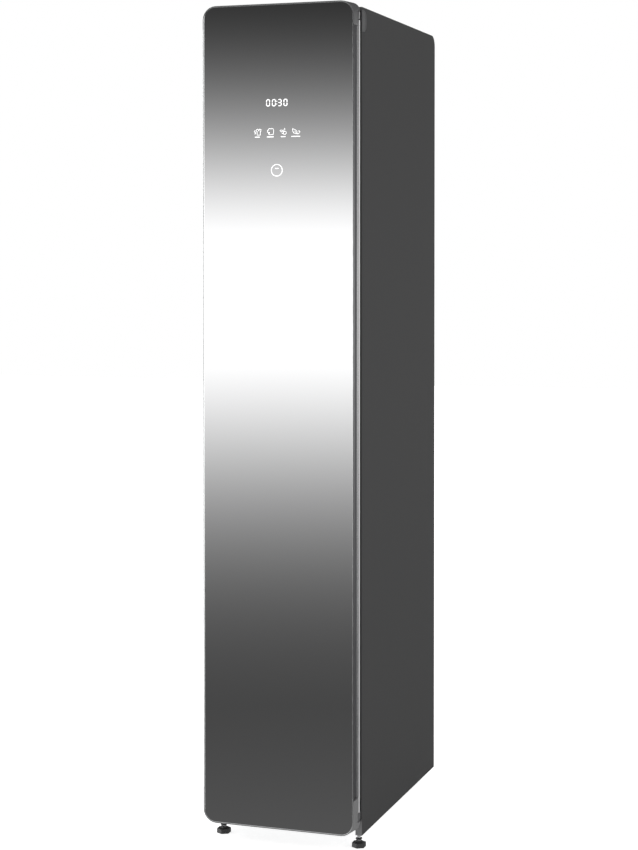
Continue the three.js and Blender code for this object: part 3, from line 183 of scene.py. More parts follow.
def powder_coat(name, color):
    finish = Finish(name, color, roughness=0.7, Specular_IOR_Level=0.15)
    finish.vary_color(finish.noise(grain(0.9), detail=3), amount=0.05)
    finish.vary_roughness(finish.noise(grain(0.4), detail=3), amount=0.04)
    return finish.bump(finish.noise(grain(0.7), detail=3), height=0.00006)


def painted_light_post_paint(name, low_color, high_color):
    """The casing's paint on its front posts, with painted light: much lighter below the door, and still a
    little lighter than the casing above it.
    """
    finish = powder_coat(name, low_color)
    split = finish.nodes.new("ShaderNodeSeparateXYZ")
    finish.links.new(finish.place, split.inputs[0])
    share = finish.nodes.new("ShaderNodeMapRange")
    share.inputs["From Min"].default_value = POST_PAINTED_LIGHT_BELOW
    share.inputs["From Max"].default_value = POST_PAINTED_LIGHT_FADED_ABOVE
    finish.links.new(split.outputs["Z"], share.inputs["Value"])
    return finish.color_between(share.outputs["Result"], low_color, high_color)


def galvanised():
    finish = Finish("galvanised", (0.52, 0.53, 0.54), roughness=0.42, metallic=1.0)
    finish.vary_color(finish.cells(grain(0.12)), amount=0.05)
    return finish.vary_roughness(finish.cells(grain(0.12)), amount=0.05)


def mirror_glass():
    coat = {"Coat_Weight": 0.3, "Coat_Roughness": 0.02}
    finish = Finish("mirror_glass", (0.6, 0.6, 0.603), roughness=0.02, metallic=1.0, **coat)
    return finish.vary_roughness(finish.noise(SLOW_RIPPLE, detail=3), amount=0.008)


def glass_edge():
    finish = Finish("glass_edge", (0.66, 0.67, 0.67), roughness=0.12, metallic=0.88)
    finish.vary_roughness(finish.noise(along_z(0.002, 0.02)), amount=0.06)
    return finish.vary_color(finish.noise(along_z(0.003, 0.04)), amount=0.05)


def anodised(name, color, roughness, metallic, roughness_range=0.06):
    finish = Finish(name, color, roughness, metallic)
    finish.vary_color(finish.noise(DRAWN_TONE), amount=0.05)
    finish.vary_roughness(finish.noise(DRAWN_SHINE), amount=roughness_range)
    return finish.bump(finish.noise(DRAWN_RELIEF), height=0.00001)


def slope_anodised():
    finish = Finish("slope_anodised", (0.43, 0.43, 0.435), roughness=0.27, metallic=0.92)
    finish.vary_color(finish.noise(along_z(0.0005, 0.12)), amount=0.05)
    return finish.vary_roughness(finish.noise(DRAWN_SHINE), amount=0.05)


def steel(name, color, roughness, metallic):
    finish = Finish(name, color, roughness, metallic)
    return finish.vary_roughness(finish.noise(grain(0.6), detail=3), amount=0.08)


def brushed_steel():
    finish = Finish("brushed_steel", (0.62, 0.62, 0.625), roughness=0.3, metallic=0.8)
    finish.vary_color(finish.noise(ALONG_RAIL), amount=0.08)
    finish.vary_roughness(finish.noise(ALONG_RAIL), amount=0.1)
    return finish.bump(finish.noise(ALONG_RAIL), height=0.00001)


def plastic(name, color, roughness, texture=0.00003):
    finish = Finish(name, color, roughness)
    finish.vary_color(finish.noise(grain(0.5), detail=3), amount=0.02)
    finish.vary_roughness(finish.noise(grain(0.3)), amount=0.04)
    return finish.bump(finish.noise(grain(1.6)), height=texture)


def rubber():
    finish = Finish("rubber", (0.022, 0.022, 0.023), roughness=0.75)
    finish.vary_color(finish.noise(grain(0.4), detail=4), amount=0.1)
    return finish.bump(finish.noise(grain(2.2)), height=0.00004)


def clear_tint():
    finish = Finish("clear_tint", (0.74, 0.87, 0.93), roughness=0.05, Transmission_Weight=0.94, IOR=1.3)
    finish.vary_roughness(finish.noise(grain(0.06), detail=3), amount=0.03)
    return finish.bump(finish.noise(grain(0.02)), height=0.00002)


def opal():
    glow = {"Emission_Color": (1, 0.97, 0.9, 1), "Emission_Strength": 0.7}
    finish = Finish("opal", (0.9, 0.89, 0.85), roughness=0.35, **glow)
    return finish.bump(finish.noise(along_z(0.004, 0.004)), height=0.00004)


def circuit():
    finish = Finish("circuit", (0.02, 0.13, 0.07), roughness=0.35)
    finish.vary_color(finish.cells(grain(0.35)), amount=0.3)
    return finish.bump(finish.cells(grain(0.5)), height=0.0001)


def woven_mesh():
    """A fine plain weave: two crossed sets of wires."""
    finish = Finish("woven_mesh", (0.4, 0.41, 0.42), roughness=0.55, metallic=0.3)
    weave = finish.nodes.new("ShaderNodeMath")
    weave.operation = "MAXIMUM"
    for socket, direction in zip(weave.inputs, ("X", "Z")):
        wave = finish.nodes.new("ShaderNodeTexWave")
        wave.bands_direction = direction
        wave.inputs["Scale"].default_value = WEAVE_SCALE
        finish.links.new(finish.place, wave.inputs["Vector"])
        finish.links.new(wave.outputs["Fac"], socket)
    finish.vary_color(weave.outputs[0], amount=0.5)
    return finish.bump(weave.outputs[0], height=0.0003)


def lit_print():
    glow = {"Emission_Color": WHITE, "Emission_Strength": 0.8}
    finish = Finish("lit_print", (0.9, 0.9, 0.9), roughness=0.5, **glow)
    return finish.vary_roughness(finish.noise(grain(0.5)), amount=0.05)


# One finish for each material slot, then the second finishes. After a name: colour, roughness, metallic

FINISHES = {
    "casing": powder_coat("powder_coat", (0.0495, 0.0495, 0.05)),
    "bare_steel": galvanised(),
    "mirror_glass": mirror_glass(),
    "door_rail": anodised("dark_anodised", (0.13, 0.13, 0.135), 0.34, 0.85, roughness_range=0.05),
    "cap_plastic": plastic("grey_plastic", (0.094, 0.094, 0.096), 0.42),
    "bright_trim": anodised("bright_anodised", (0.66, 0.665, 0.67), 0.42, 0.04),
    "liner": plastic("liner_plastic", (0.66, 0.665, 0.67), 0.36),
    "gasket": rubber(),
    "black_plastic": plastic("black_plastic", (0.018, 0.018, 0.019), 0.46),
    "tank": clear_tint(),
    "lamp": opal(),
    "circuit_board": circuit(),
    "filter_mesh": woven_mesh(),
    "blower_plastic": plastic("blower_plastic", (0.22, 0.225, 0.235), 0.5),
}
EDGE = glass_edge()
PRINT = lit_print()
SLOPE = slope_anodised()
# Painted highlight: a bright copy of the anodised rail, used only on the left rail's front lip
LEFT_LIP_PAINTED_HIGHLIGHT = anodised("left_lip_painted_highlight", (0.86, 0.865, 0.87), 0.3, 0.9)
# Painted light on the front posts: lighter than the casing, most of all below the door
POST_PAINTED_LIGHT = painted_light_post_paint("painted_light_post_paint", (0.18, 0.18, 0.182), (0.07, 0.07, 0.0705))
RAIL_STEEL = brushed_steel()
# Painted light: the top cap's downward end faces, much lighter than its grey plastic, as if lit from the
# floor
CAP_END_PAINTED_LIGHT = plastic("cap_end_painted_light", (0.34, 0.34, 0.345), 0.42)
COVER = plastic("cover_plastic", (0.07, 0.07, 0.072), 0.4)
DARK_STEEL = steel("dark_steel", (0.06, 0.06, 0.062), 0.4, 0.7)
# Painted highlight: bright steel on the upper knuckle's facets that face one side
KNUCKLE_PAINTED_HIGHLIGHT = steel("knuckle_painted_highlight", (0.46, 0.46, 0.465), 0.4, 0.3)
HINGE_STEEL = steel("hinge_steel", (0.16, 0.16, 0.165), 0.4, 0.5)
# Painted light: the grey cap plastic made lighter for the bottom cap, near the floor
LOWER_CAP_PAINTED_LIGHT = plastic("lower_cap_painted_light", (0.165, 0.165, 0.167), 0.42)
ZINC = steel("zinc", (0.78, 0.78, 0.79), 0.3, 0.5)
KNOB = plastic("knob_plastic", (0.036, 0.036, 0.037), 0.4, texture=0.00001)
MARK = plastic("printed_mark", (0.03, 0.06, 0.1), 0.4)


# Mesh pieces

ROUNDING_STEPS = 2
ROUNDING_ANGLE = math.radians(38)
FLAT_ANGLE = math.radians(0.5)
MERGE_DISTANCE = 0.000002


def piece_from(bm, name, body, slot, *finishes):
    """Makes a piece that rides on a body, in the finish of its slot or in the finishes given."""
    mesh = bpy.data.meshes.new(name)
    bmesh.ops.recalc_face_normals(bm, faces=bm.faces)
    bm.to_mesh(mesh)
    bm.free()
    piece = bpy.data.objects.new(name, mesh)
    scene.collection.objects.link(piece)
    for finish in finishes or (FINISHES[slot],):
        mesh.materials.append(finish.material)
    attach(piece, body)
    return piece


def soften(piece, width):
    """Rounds the hard edges and keeps the flat faces flat."""
    piece.data.shade_smooth()
    bevel = piece.modifiers.new("rounded_edges", "BEVEL")
    bevel.width = width
    bevel.segments = ROUNDING_STEPS
    bevel.limit_method = "ANGLE"
    bevel.angle_limit = ROUNDING_ANGLE
    bevel.harden_normals = True
    normals = piece.modifiers.new("flat_faces", "WEIGHTED_NORMAL")
    normals.keep_sharp = True
    return piece


def shade(piece, sharp_degrees):
    """Shades a piece smooth, but for the edges that turn by more than an angle."""
    piece.data.shade_smooth()
    piece.data.set_sharp_from_angle(angle=math.radians(sharp_degrees))


def flattened(node):
    """A copy of a CAD node's mesh with its triangles merged back into flat faces."""
    bm = bmesh.new()
    bm.from_mesh(frame["nodes"][node].data)
    bmesh.ops.remove_doubles(bm, verts=bm.verts, dist=MERGE_DISTANCE)
    bmesh.ops.dissolve_limit(bm, angle_limit=FLAT_ANGLE, verts=bm.verts, edges=bm.edges)
    return bm


def divided(bm, node):
    """Cuts the flat faces along the upright border of a second finish."""
    if node in DIVIDED_AT:
        everywhere = bm.verts[:] + bm.edges[:] + bm.faces[:]
        bmesh.ops.bisect_plane(bm, geom=everywhere, plane_co=(DIVIDED_AT[node], 0, 0), plane_no=(1, 0, 0))
    return bm


def repaint(piece, finish, chosen):
    """Gives another finish to the faces that the test picks."""
    piece.data.materials.append(finish.material)
    for face in piece.data.polygons:
        if chosen(face):
            face.material_index = len(piece.data.materials) - 1


def refined(node, width):
    """Stands for a CAD node with the same shape, rounded edges and its finishes."""
    mesh = divided(flattened(node), node)
    piece = piece_from(mesh, f"{node}_finished", NODE_BODY[node], NODE_SLOT[node])
    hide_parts(node)
    for finish, chosen in REPAINTED.get(node, ()):
        repaint(piece, finish, chosen)
    return soften(piece, width)


# Tests that pick the faces of a second finish, by the direction and the place of each face

FACING = 0.9
SLANTED = 0.3
SLOPE_LEAST = 0.4
SLOPE_MOST = 0.95
SLOPE_EDGE = 0.172
LIP_EDGE = 0.173
LIP_FRONT = -0.322
LEAF_FRONT = -0.2735
# Side towards which the knuckle's facets get the painted highlight, and how closely they must face it
PAINTED_HIGHLIGHT_SIDE = Vector((0.966, -0.259, 0))
PAINTED_HIGHLIGHT_MATCH = 0.98


def front_flange(face):
    return face.normal.y < -FACING


def grip_slope(face):
    leaning = SLOPE_LEAST < abs(face.normal.x) < SLOPE_MOST and face.normal.y < -SLANTED
    return leaning and abs(face.center.x) > SLOPE_EDGE


def front_lip(face):
    return face.normal.y < -SLANTED and face.center.y < LIP_FRONT and abs(face.center.x) > LIP_EDGE


def hinge_leaf(face):
    return face.center.y > LEAF_FRONT


def downward(face):
    return face.normal.z < -FACING


# Painted highlight: the knuckle's facets turned towards one side, in front of the hinge leaf
def painted_highlight_facets(face):
    return face.normal.dot(PAINTED_HIGHLIGHT_SIDE) > PAINTED_HIGHLIGHT_MATCH and face.center.y < LEAF_FRONT


def everything(face):
    return True


REPAINTED = {
    "hanging_rail": [(RAIL_STEEL, everything)],
    # The top cap's downward faces are painted light
    "door_top_cap": [(CAP_END_PAINTED_LIGHT, downward)],
    # Painted light on the front flanges of the side panels
    "side_panel_left": [(POST_PAINTED_LIGHT, front_flange)],
    "side_panel_right": [(POST_PAINTED_LIGHT, front_flange)],
    # The left rail's front lip has a painted highlight, the right one has none
    "door_rail_left": [(SLOPE, grip_slope), (LEFT_LIP_PAINTED_HIGHLIGHT, front_lip)],
    "door_rail_right": [(SLOPE, grip_slope)],
    # The bottom cap is painted light
    "door_bottom_cap": [(LOWER_CAP_PAINTED_LIGHT, everything)],
    # The upper hinge is dark steel with a painted highlight down its knuckle
    "upper_hinge_arm": [(DARK_STEEL, everything), (KNUCKLE_PAINTED_HIGHLIGHT, painted_highlight_facets)],
    "lower_hinge_arm": [(HINGE_STEEL, everything), (DARK_STEEL, hinge_leaf)],
    "hinge_cover": [(COVER, everything)],
}
DIVIDED_AT = {"door_rail_left": -SLOPE_EDGE, "door_rail_right": SLOPE_EDGE}

# Width of the rounded edges, and the nodes that have it
ROUNDED = {
    0.0004: ["side_panel_left", "side_panel_right", "top_panel", "base_pan", "machine_cover"],
    0.0003: ["door_trim_left", "door_trim_right", "rear_duct_panel", "chamber_floor", "chamber_ceiling"],
    0.00045: ["chamber_wall_left", "chamber_wall_right"],
    0.0005: ["door_rail_left", "door_rail_right", "hinge_cover", "rail_cradle_left", "rail_cradle_right"],
    0.0006: ["door_top_cap", "door_bottom_cap", "upper_hinge_arm", "lower_hinge_arm", "power_inlet"],
    0.0007: ["supply_tank_lid", "drain_tank_lid", "tank_well", "steam_nozzle"],
    0.0008: ["door_liner", "chamber_light_lens", "steam_generator", "water_pump", "blower_motor"],
    0.0010: ["front_frame", "door_lower_pad", "supply_tank_handle", "drain_tank_handle", "hanging_rail"],
    0.00031: [
        "lint_filter_frame", "filter_housing", "blower_housing",
        "air_heater", "control_board", "touch_board",
    ],
}
PLAIN = ["lint_filter_mesh", "steam_pipe", "water_hose", "blower_wheel"]


def finish_nodes():
    for width, nodes in ROUNDED.items():
        for node in nodes:
            refined(node, width)
    for node in PLAIN:
        materials = frame["nodes"][node].data.materials
        materials.clear()
        materials.append(FINISHES[NODE_SLOT[node]].material)


# Outlines and lofts


def rectangle(x0, z0, x1, z1):
    return [(x0, z0), (x1, z0), (x1, z1), (x0, z1)]


def round_points(x, z, radius, steps, turn=0.0):
    turns = [turn + i * TAU / steps for i in range(steps)]
    return [(x + radius * math.cos(angle), z + radius * math.sin(angle)) for angle in turns]


def rounded_loop(x0, x1, z0, z1, radius, steps=16):
    """Corner points of a rounded rectangle, anticlockwise seen from the front."""
    left, right, low, high = x0 + radius, x1 - radius, z0 + radius, z1 - radius
    loop = []
    for corner, (x, z) in enumerate(((right, low), (right, high), (left, high), (left, low))):
        for step in range(steps + 1):
            angle = (corner - 1 + step / steps) * math.pi / 2
            loop.append((x + radius * math.cos(angle), z + radius * math.sin(angle)))
    return loop


def lofted(bm, rings, material=0):
    """Side walls between rings of points of equal count."""
    loops = [[bm.verts.new(point) for point in ring] for ring in rings]
    for low, high in zip(loops, loops[1:]):
        for i in range(len(low)):
            j = (i + 1) % len(low)
            bm.faces.new((low[i], low[j], high[j], high[i])).material_index = material
    return loops


def capped(bm, rings):
    """Side walls between rings, with both ends closed."""
    loops = lofted(bm, rings)
    bm.faces.new(loops[0])
    bm.faces.new(loops[-1])


def turned(bm, centre, profile, sides, turn=0.0):
    """A closed profile of (radius, height) pairs round an upright axis."""
    rings = []
    for radius, z in profile:
        rings.append([(x, y, z) for x, y in round_points(*centre, radius, sides, turn)])
    capped(bm, rings)


# Door glass, with a polished bevel all round

GLASS_RADIUS = 0.028
GLASS_BEVEL = 0.0014
GLASS_SHARP = 20
PRINT_ROOM = 0.00012


def door_glass():
    """Makes the glass and returns the place of its front face, which leaves room for the print."""
    (x0, y0, z0), (x1, y1, z1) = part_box("door_glass")
    face = y0 + PRINT_ROOM

    def ring(inset, y):
        loop = rounded_loop(x0 + inset, x1 - inset, z0 + inset, z1 - inset, GLASS_RADIUS - inset)
        return [(x, y, z) for x, z in loop]

    bm = bmesh.new()
    rings = [ring(0, y1), ring(0, face + GLASS_BEVEL / 2), ring(GLASS_BEVEL, face)]
    loops = lofted(bm, rings, material=1)
    bm.faces.new(loops[0]).material_index = 1
    bm.faces.new(loops[-1]).material_index = 0
    piece = piece_from(bm, "door_glass_polished", "door", "mirror_glass", FINISHES["mirror_glass"], EDGE)
    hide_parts("door_glass")
    shade(piece, GLASS_SHARP)
    return face


# Levelling feet: radii, and heights above the floor

HEX_SIDES = 6
HEX_TURN = math.pi / 6
KNOB_RADIUS = 0.0161
KNOB_EDGE = 0.0007
KNOB_BOTTOM = 0.0003
KNOB_TOP = 0.011
KNOB_ROUNDING = 0.0003
NECK_RADIUS = 0.0079
NECK_TOP = 0.0146
PAD_PROFILE = ((0.0112, 0), (0.0118, 0.0004), (0.0118, 0.0014))
PAD_SIDES = 40
PAD_ROUNDING = 0.0002
NUT_BOTTOM = 0.0172
NUT_TOP = 0.0208
NUT_RADIUS = 0.0074
NUT_CHAMFER = 0.0006
NUT_END_RADIUS = 0.9 * NUT_RADIUS
NUT_ROUNDING = 0.0003
STUD_RADIUS = 0.004
STUD_SEAT = 0.001
THREAD_PITCH = 0.00125
THREAD_DEPTH = 0.0006
THREAD_STEPS = 4
THREAD_SIDES = 16
KNOB_PROFILE = (
    (KNOB_RADIUS - KNOB_EDGE, KNOB_BOTTOM),
    (KNOB_RADIUS, KNOB_BOTTOM + KNOB_EDGE),
    (KNOB_RADIUS, KNOB_TOP - KNOB_EDGE),
    (KNOB_RADIUS - KNOB_EDGE, KNOB_TOP),
    (NECK_RADIUS, KNOB_TOP),
    (NECK_RADIUS, NECK_TOP),
)
NUT_PROFILE = (
    (NUT_END_RADIUS, NUT_BOTTOM),
    (NUT_RADIUS, NUT_BOTTOM + NUT_CHAMFER),
    (NUT_RADIUS, NUT_TOP - NUT_CHAMFER),
    (NUT_END_RADIUS, NUT_TOP),
)


def threaded_stud(bm, centre, bottom, top):
    """A rod whose radius follows a rising thread."""
    x, y = centre
    rings = []
    for k in range(int((top - bottom) / THREAD_PITCH * THREAD_STEPS) + 1):
        z = bottom + k * THREAD_PITCH / THREAD_STEPS
        ring = []
        for i in range(THREAD_SIDES):
            share = (z / THREAD_PITCH - i / THREAD_SIDES) % 1
            radius = STUD_RADIUS - THREAD_DEPTH * abs(2 * share - 1)
            angle = i * TAU / THREAD_SIDES
            ring.append((x + radius * math.cos(angle), y + radius * math.sin(angle), z))
        rings.append(ring)
    capped(bm, rings)


def levelling_foot(name):
    """A faceted knob with its neck, a soft pad, a lock nut and a threaded stud."""
    node = f"levelling_foot_{name}"
    body = NODE_BODY[node]
    (x0, y0, _), (x1, y1, z1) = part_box(node)
    centre = ((x0 + x1) / 2, (y0 + y1) / 2)

    bm = bmesh.new()
    turned(bm, centre, KNOB_PROFILE, HEX_SIDES, HEX_TURN)
    knob = soften(piece_from(bm, f"{node}_knob", body, "black_plastic", KNOB), KNOB_ROUNDING)

    bm = bmesh.new()
    turned(bm, centre, PAD_PROFILE, PAD_SIDES)
    pad = soften(piece_from(bm, f"{node}_pad", body, "gasket"), PAD_ROUNDING)

    bm = bmesh.new()
    turned(bm, centre, NUT_PROFILE, HEX_SIDES, HEX_TURN)
    nut = soften(piece_from(bm, f"{node}_nut", body, "black_plastic", DARK_STEEL), NUT_ROUNDING)

    bm = bmesh.new()
    threaded_stud(bm, centre, NECK_TOP - STUD_SEAT, z1)
    stud = piece_from(bm, f"{node}_stud", body, "bare_steel", ZINC)
    for piece in (knob, pad, nut, stud):
        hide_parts(node)


# Printed and lit display on the glass: places in millimetres, x from the middle, z above the floor

PRINT_BACK = 0.02 * MM
PRINT_FRONT = 0.08 * MM
MITRE_LIMIT = 0.4
DOT_STEPS = 12


class Ink:
    """Flat shapes printed on the door glass, gathered into one thin piece."""

    def __init__(self, face):
        self.layers = (face - PRINT_BACK, face - PRINT_FRONT)
        self.bm = bmesh.new()

    def shape(self, points):
        capped(self.bm, [[(x * MM, y, z * MM) for x, z in points] for y in self.layers])

    def line(self, points, width, closed=False):
        """A stroke of even width along a run of points, with mitred corners."""
        count = len(points)
        left, right = [], []
        for i, (x, z) in enumerate(points):
            before = points[i - 1] if closed or i > 0 else points[i]
            after = points[(i + 1) % count] if closed or i < count - 1 else points[i]
            arriving = Vector((x - before[0], z - before[1]))
            leaving = Vector((after[0] - x, after[1] - z))
            arriving = arriving.normalized() if arriving.length else leaving.normalized()
            leaving = leaving.normalized() if leaving.length else arriving
            along = (arriving + leaving).normalized()
            reach = width / 2 / max(along.dot(arriving), MITRE_LIMIT)
            left.append((x - along.y * reach, z + along.x * reach))
            right.append((x + along.y * reach, z - along.x * reach))
        if closed:
            for i in range(count):
                j = (i + 1) % count
                self.shape([left[i], left[j], right[j], right[i]])
        else:
            self.shape(left + right[::-1])

    def arc(self, x, z, bend, width):
        """A round stroke. The bend gives its centre from x and z, its radius, two angles and its steps."""
        dx, dz, radius, start, end, steps = bend
        turns = [math.radians(start + (end - start) * i / steps) for i in range(steps + 1)]
        points = [(x + dx + radius * math.cos(turn), z + dz + radius * math.sin(turn)) for turn in turns]
        self.line(points, width)

    def circle(self, x, z, radius, width, steps):
        self.line(round_points(x, z, radius, steps), width, closed=True)

    def dot(self, x, z, radius):
        self.shape(round_points(x, z, radius, DOT_STEPS))

    def piece(self, name):
        return piece_from(self.bm, name, "door", "lamp", PRINT)


DISPLAY_MIDDLE = -1.2
CLOCK_FIGURES = "0030"
LIT_BARS = {"0": "abcdef", "3": "abcdg"}
DIGIT_HEIGHT = 15.4
DIGIT_WIDTH = 9.0
DIGIT_PITCH = 13.4
DIGIT_STROKE = 1.9
DIGIT_GAP = 0.35
DIGIT_BOTTOM = 1627.0
COLON_SHARES = (0.3, 0.7)
COLON_RADIUS = 0.55 * DIGIT_STROKE


def digit(ink, x, z, lit):
    """One figure of six-sided bars, lettered a to g in the usual order."""
    half = DIGIT_STROKE / 2
    near, far = x + half, x + DIGIT_WIDTH - half
    middle = z + DIGIT_HEIGHT / 2
    base_line, top_line = z + half, z + DIGIT_HEIGHT - half
    lower = (base_line + DIGIT_GAP, middle - DIGIT_GAP)
    upper = (middle + DIGIT_GAP, top_line - DIGIT_GAP)
    level = {"a": top_line, "g": middle, "d": base_line}
    upright = {"f": (near, *upper), "b": (far, *upper), "e": (near, *lower), "c": (far, *lower)}
    for bar in LIT_BARS[lit]:
        if bar in level:
            height = level[bar]
            left, right = near + DIGIT_GAP, far - DIGIT_GAP
            ink.shape([
                (left, height), (left + half, height + half), (right - half, height + half),
                (right, height), (right - half, height - half), (left + half, height - half),
            ])
        else:
            place, low, high = upright[bar]
            ink.shape([
                (place, low), (place + half, low + half), (place + half, high - half),
                (place, high), (place - half, high - half), (place - half, low + half),
            ])


def clock(ink):
    for place, lit in enumerate(CLOCK_FIGURES):
        from_middle = (place - (len(CLOCK_FIGURES) - 1) / 2) * DIGIT_PITCH
        digit(ink, DISPLAY_MIDDLE + from_middle - DIGIT_WIDTH / 2, DIGIT_BOTTOM, lit)
    for share in COLON_SHARES:
        ink.dot(DISPLAY_MIDDLE, DIGIT_BOTTOM + share * DIGIT_HEIGHT, COLON_RADIUS)


# Icons: points from the middle of an icon and from its foot. What a bend holds is said in Ink.arc

ICON_BOTTOM = 1564.5
ICON_STROKE = 0.92
SHIRT_SHIFT = 3.4
SHIRT_OUTLINE = (
    (-1.9, 13.8), (-5.4, 12.4), (-4.6, 8.2), (-3.7, 8.6), (-3.7, 0.6),
    (3.7, 0.6), (3.7, 8.6), (4.6, 8.2), (5.4, 12.4), (1.9, 13.8),
)
SHIRT_COLLAR = ((-1.9, 13.8), (0, 9.6), (1.9, 13.8))
SHIRT_STEAM = ((-5.2, 8.4, 1.7, 30, 270, 10), (-5.2, 5.0, 1.7, -150, 90, 10))
JACKET_SHIFT = 1.6
JACKET_OUTLINE = (
    (-4.6, 5.0), (-4.6, 1.0), (5.2, 1.0), (6.4, 9.6), (5.0, 13.6),
    (2.2, 14.8), (0, 13.0), (-2.2, 14.8), (-5.0, 13.6), (-5.8, 12.0),
)
ARROW_BEND = (-5.4, 8.4, 3.0, 70, 290, 12)
ARROW_TIP = ((-5.4, 3.6), (-5.4, 7.4), (-2.6, 5.4))
UPPER_STRAND = ((-8, 9.6), (-5, 10.4), (-1, 9.8), (2.6, 10.8))
UPPER_BEND = (2.6, 12.4, 1.6, -90, 110, 10)
MIDDLE_STRAND = ((-7, 7.4), (-2, 7.6), (2.6, 7.8))
LOWER_STRAND = ((-3.6, 5.0), (-1.6, 2.9), (1.0, 1.8))
ROLL_CENTRE = (3.8, 4.4)
ROLL_RADIUS = 3.4
ROLL_STEPS = 20
LEAF_STEPS = 10
LEAF_START = (-7.4, 12.8)
LEAF_REACH = (10.6, -11.2)
LEAF_UPPER_BULGE = (3.0, 1.6)
LEAF_LOWER_BULGE = (-3.0, -2.6)
VEIN_START = 4
VEIN_STROKE = 0.8 * ICON_STROKE
WAVE = ((3.2, 1.6), (6.2, 1.8), (8.6, 3.8))
WAVE_BEND = (7.2, 5.8, 2.2, -40, 150, 10)


def moved(points, x, z):
    return [(x + px, z + pz) for px, pz in points]


def shirt(ink, x, z):
    """A shirt with a curl of steam at its side."""
    ink.line(moved(SHIRT_OUTLINE, x + SHIRT_SHIFT, z), ICON_STROKE)
    ink.line(moved(SHIRT_COLLAR, x + SHIRT_SHIFT, z), ICON_STROKE)
    for bend in SHIRT_STEAM:
        ink.arc(x, z, bend, ICON_STROKE)


def jacket(ink, x, z):
    """A jacket with an arrow that turns back at its side."""
    ink.line(moved(JACKET_OUTLINE, x + JACKET_SHIFT, z), ICON_STROKE)
    ink.arc(x + JACKET_SHIFT, z, ARROW_BEND, ICON_STROKE)
    ink.shape(moved(ARROW_TIP, x + JACKET_SHIFT, z))


def breeze(ink, x, z):
    """Strands of moving air, one of which rolls up."""
    ink.line(moved(UPPER_STRAND, x, z), ICON_STROKE)
    ink.arc(x, z, UPPER_BEND, ICON_STROKE)
    ink.line(moved(MIDDLE_STRAND, x, z), ICON_STROKE)
    ink.circle(x + ROLL_CENTRE[0], z + ROLL_CENTRE[1], ROLL_RADIUS, ICON_STROKE, ROLL_STEPS)
    ink.line(moved(LOWER_STRAND, x, z), ICON_STROKE)


def bulged(points, bulge):
    """A run of points pushed to one side, most at its middle."""
    pushed = []
    for i, (x, z) in enumerate(points):
        share = math.sin(i / (len(points) - 1) * math.pi)
        pushed.append((x + bulge[0] * share, z + bulge[1] * share))
    return pushed


def quiet(ink, x, z):
    """A leaf on a small wave."""
    shares = [i / LEAF_STEPS for i in range(LEAF_STEPS + 1)]
    straight = [(LEAF_REACH[0] * share, LEAF_REACH[1] * share) for share in shares]
    spine = moved(straight, x + LEAF_START[0], z + LEAF_START[1])
    upper, lower = bulged(spine, LEAF_UPPER_BULGE), bulged(spine, LEAF_LOWER_BULGE)
    ink.line(upper + lower[-2:0:-1], ICON_STROKE, closed=True)
    ink.line(spine[VEIN_START:], VEIN_STROKE)
    ink.line(moved(WAVE, x, z), ICON_STROKE)
    ink.arc(x, z, WAVE_BEND, ICON_STROKE)


# Middle of each icon, its drawing, and the length of the plain bar below it
PROGRAMMES = ((-46.5, shirt, 11.0), (-16.4, jacket, 15.8), (13.6, breeze, 10.5), (42.6, quiet, 20.0))
BAR_TOP = 1561.6
BAR_HEIGHT = 1.8


def programme_icons(ink):
    for x, draw, length in PROGRAMMES:
        draw(ink, x, ICON_BOTTOM)
        ink.shape(rectangle(x - length / 2, BAR_TOP - BAR_HEIGHT, x + length / 2, BAR_TOP))


KEY_HEIGHT = 1488.0
KEY_RADIUS = 12.6
KEY_STROKE = 1.45
KEY_STEPS = 56
KEY_MARK = ((-4.0, 4.5), (-1.6, 3.8), (1.6, 3.8), (4.0, 4.5))
KEY_MARK_STROKE = 1.1 * KEY_STROKE


def touch_key(ink):
    ink.circle(DISPLAY_MIDDLE, KEY_HEIGHT, KEY_RADIUS, KEY_STROKE, KEY_STEPS)
    ink.line(moved(KEY_MARK, DISPLAY_MIDDLE, KEY_HEIGHT), KEY_MARK_STROKE)


def display(face):
    for name, draw in (("clock", clock), ("programme_icons", programme_icons), ("touch_key", touch_key)):
        ink = Ink(face)
        draw(ink)
        ink.piece(f"display_{name}")


# Door gasket: a hollow bulb with pleated sides, swept round the chamber

GASKET_RADIUS = 0.02
GASKET_WIDTH = 0.011
GASKET_CORNER_STEPS = 10
GASKET_SHARP = 60
# Distance from the outer side, and share of the depth from the front
GASKET_SECTION = (
    (0.001, 0), (0.001, 0.12), (0.0028, 0.2), (0.0028, 0.28), (0.0012, 0.38), (0.0004, 0.55),
    (0.0006, 0.8), (0.002, 0.96), (0.005, 1.0), (0.0085, 0.97), (0.0102, 0.85), (0.0105, 0.55),
    (0.0098, 0.38), (0.0082, 0.28), (0.0082, 0.2), (0.0098, 0.12), (0.0098, 0),
)


def door_gasket():
    (x0, y0, z0), (x1, y1, z1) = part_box("door_gasket")
    outer_radius = GASKET_RADIUS + GASKET_WIDTH
    rings = []
    for inset, share in GASKET_SECTION:
        corner = outer_radius - inset
        loop = rounded_loop(x0 + inset, x1 - inset, z0 + inset, z1 - inset, corner, GASKET_CORNER_STEPS)
        rings.append([(x, y0 + share * (y1 - y0), z) for x, z in loop])
    bm = bmesh.new()
    lofted(bm, rings + rings[:1])
    bmesh.ops.remove_doubles(bm, verts=bm.verts, dist=MERGE_DISTANCE)
    piece = piece_from(bm, "door_gasket_bellows", "door", "gasket")
    shade(piece, GASKET_SHARP)
    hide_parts("door_gasket")


# Water tanks with pressed bands and level marks

TANK_CORNER = 0.012
TANK_CORNER_STEPS = 8
TANK_WALL = 0.0022
TANK_FILLET = 0.003
TANK_SHARP = 40
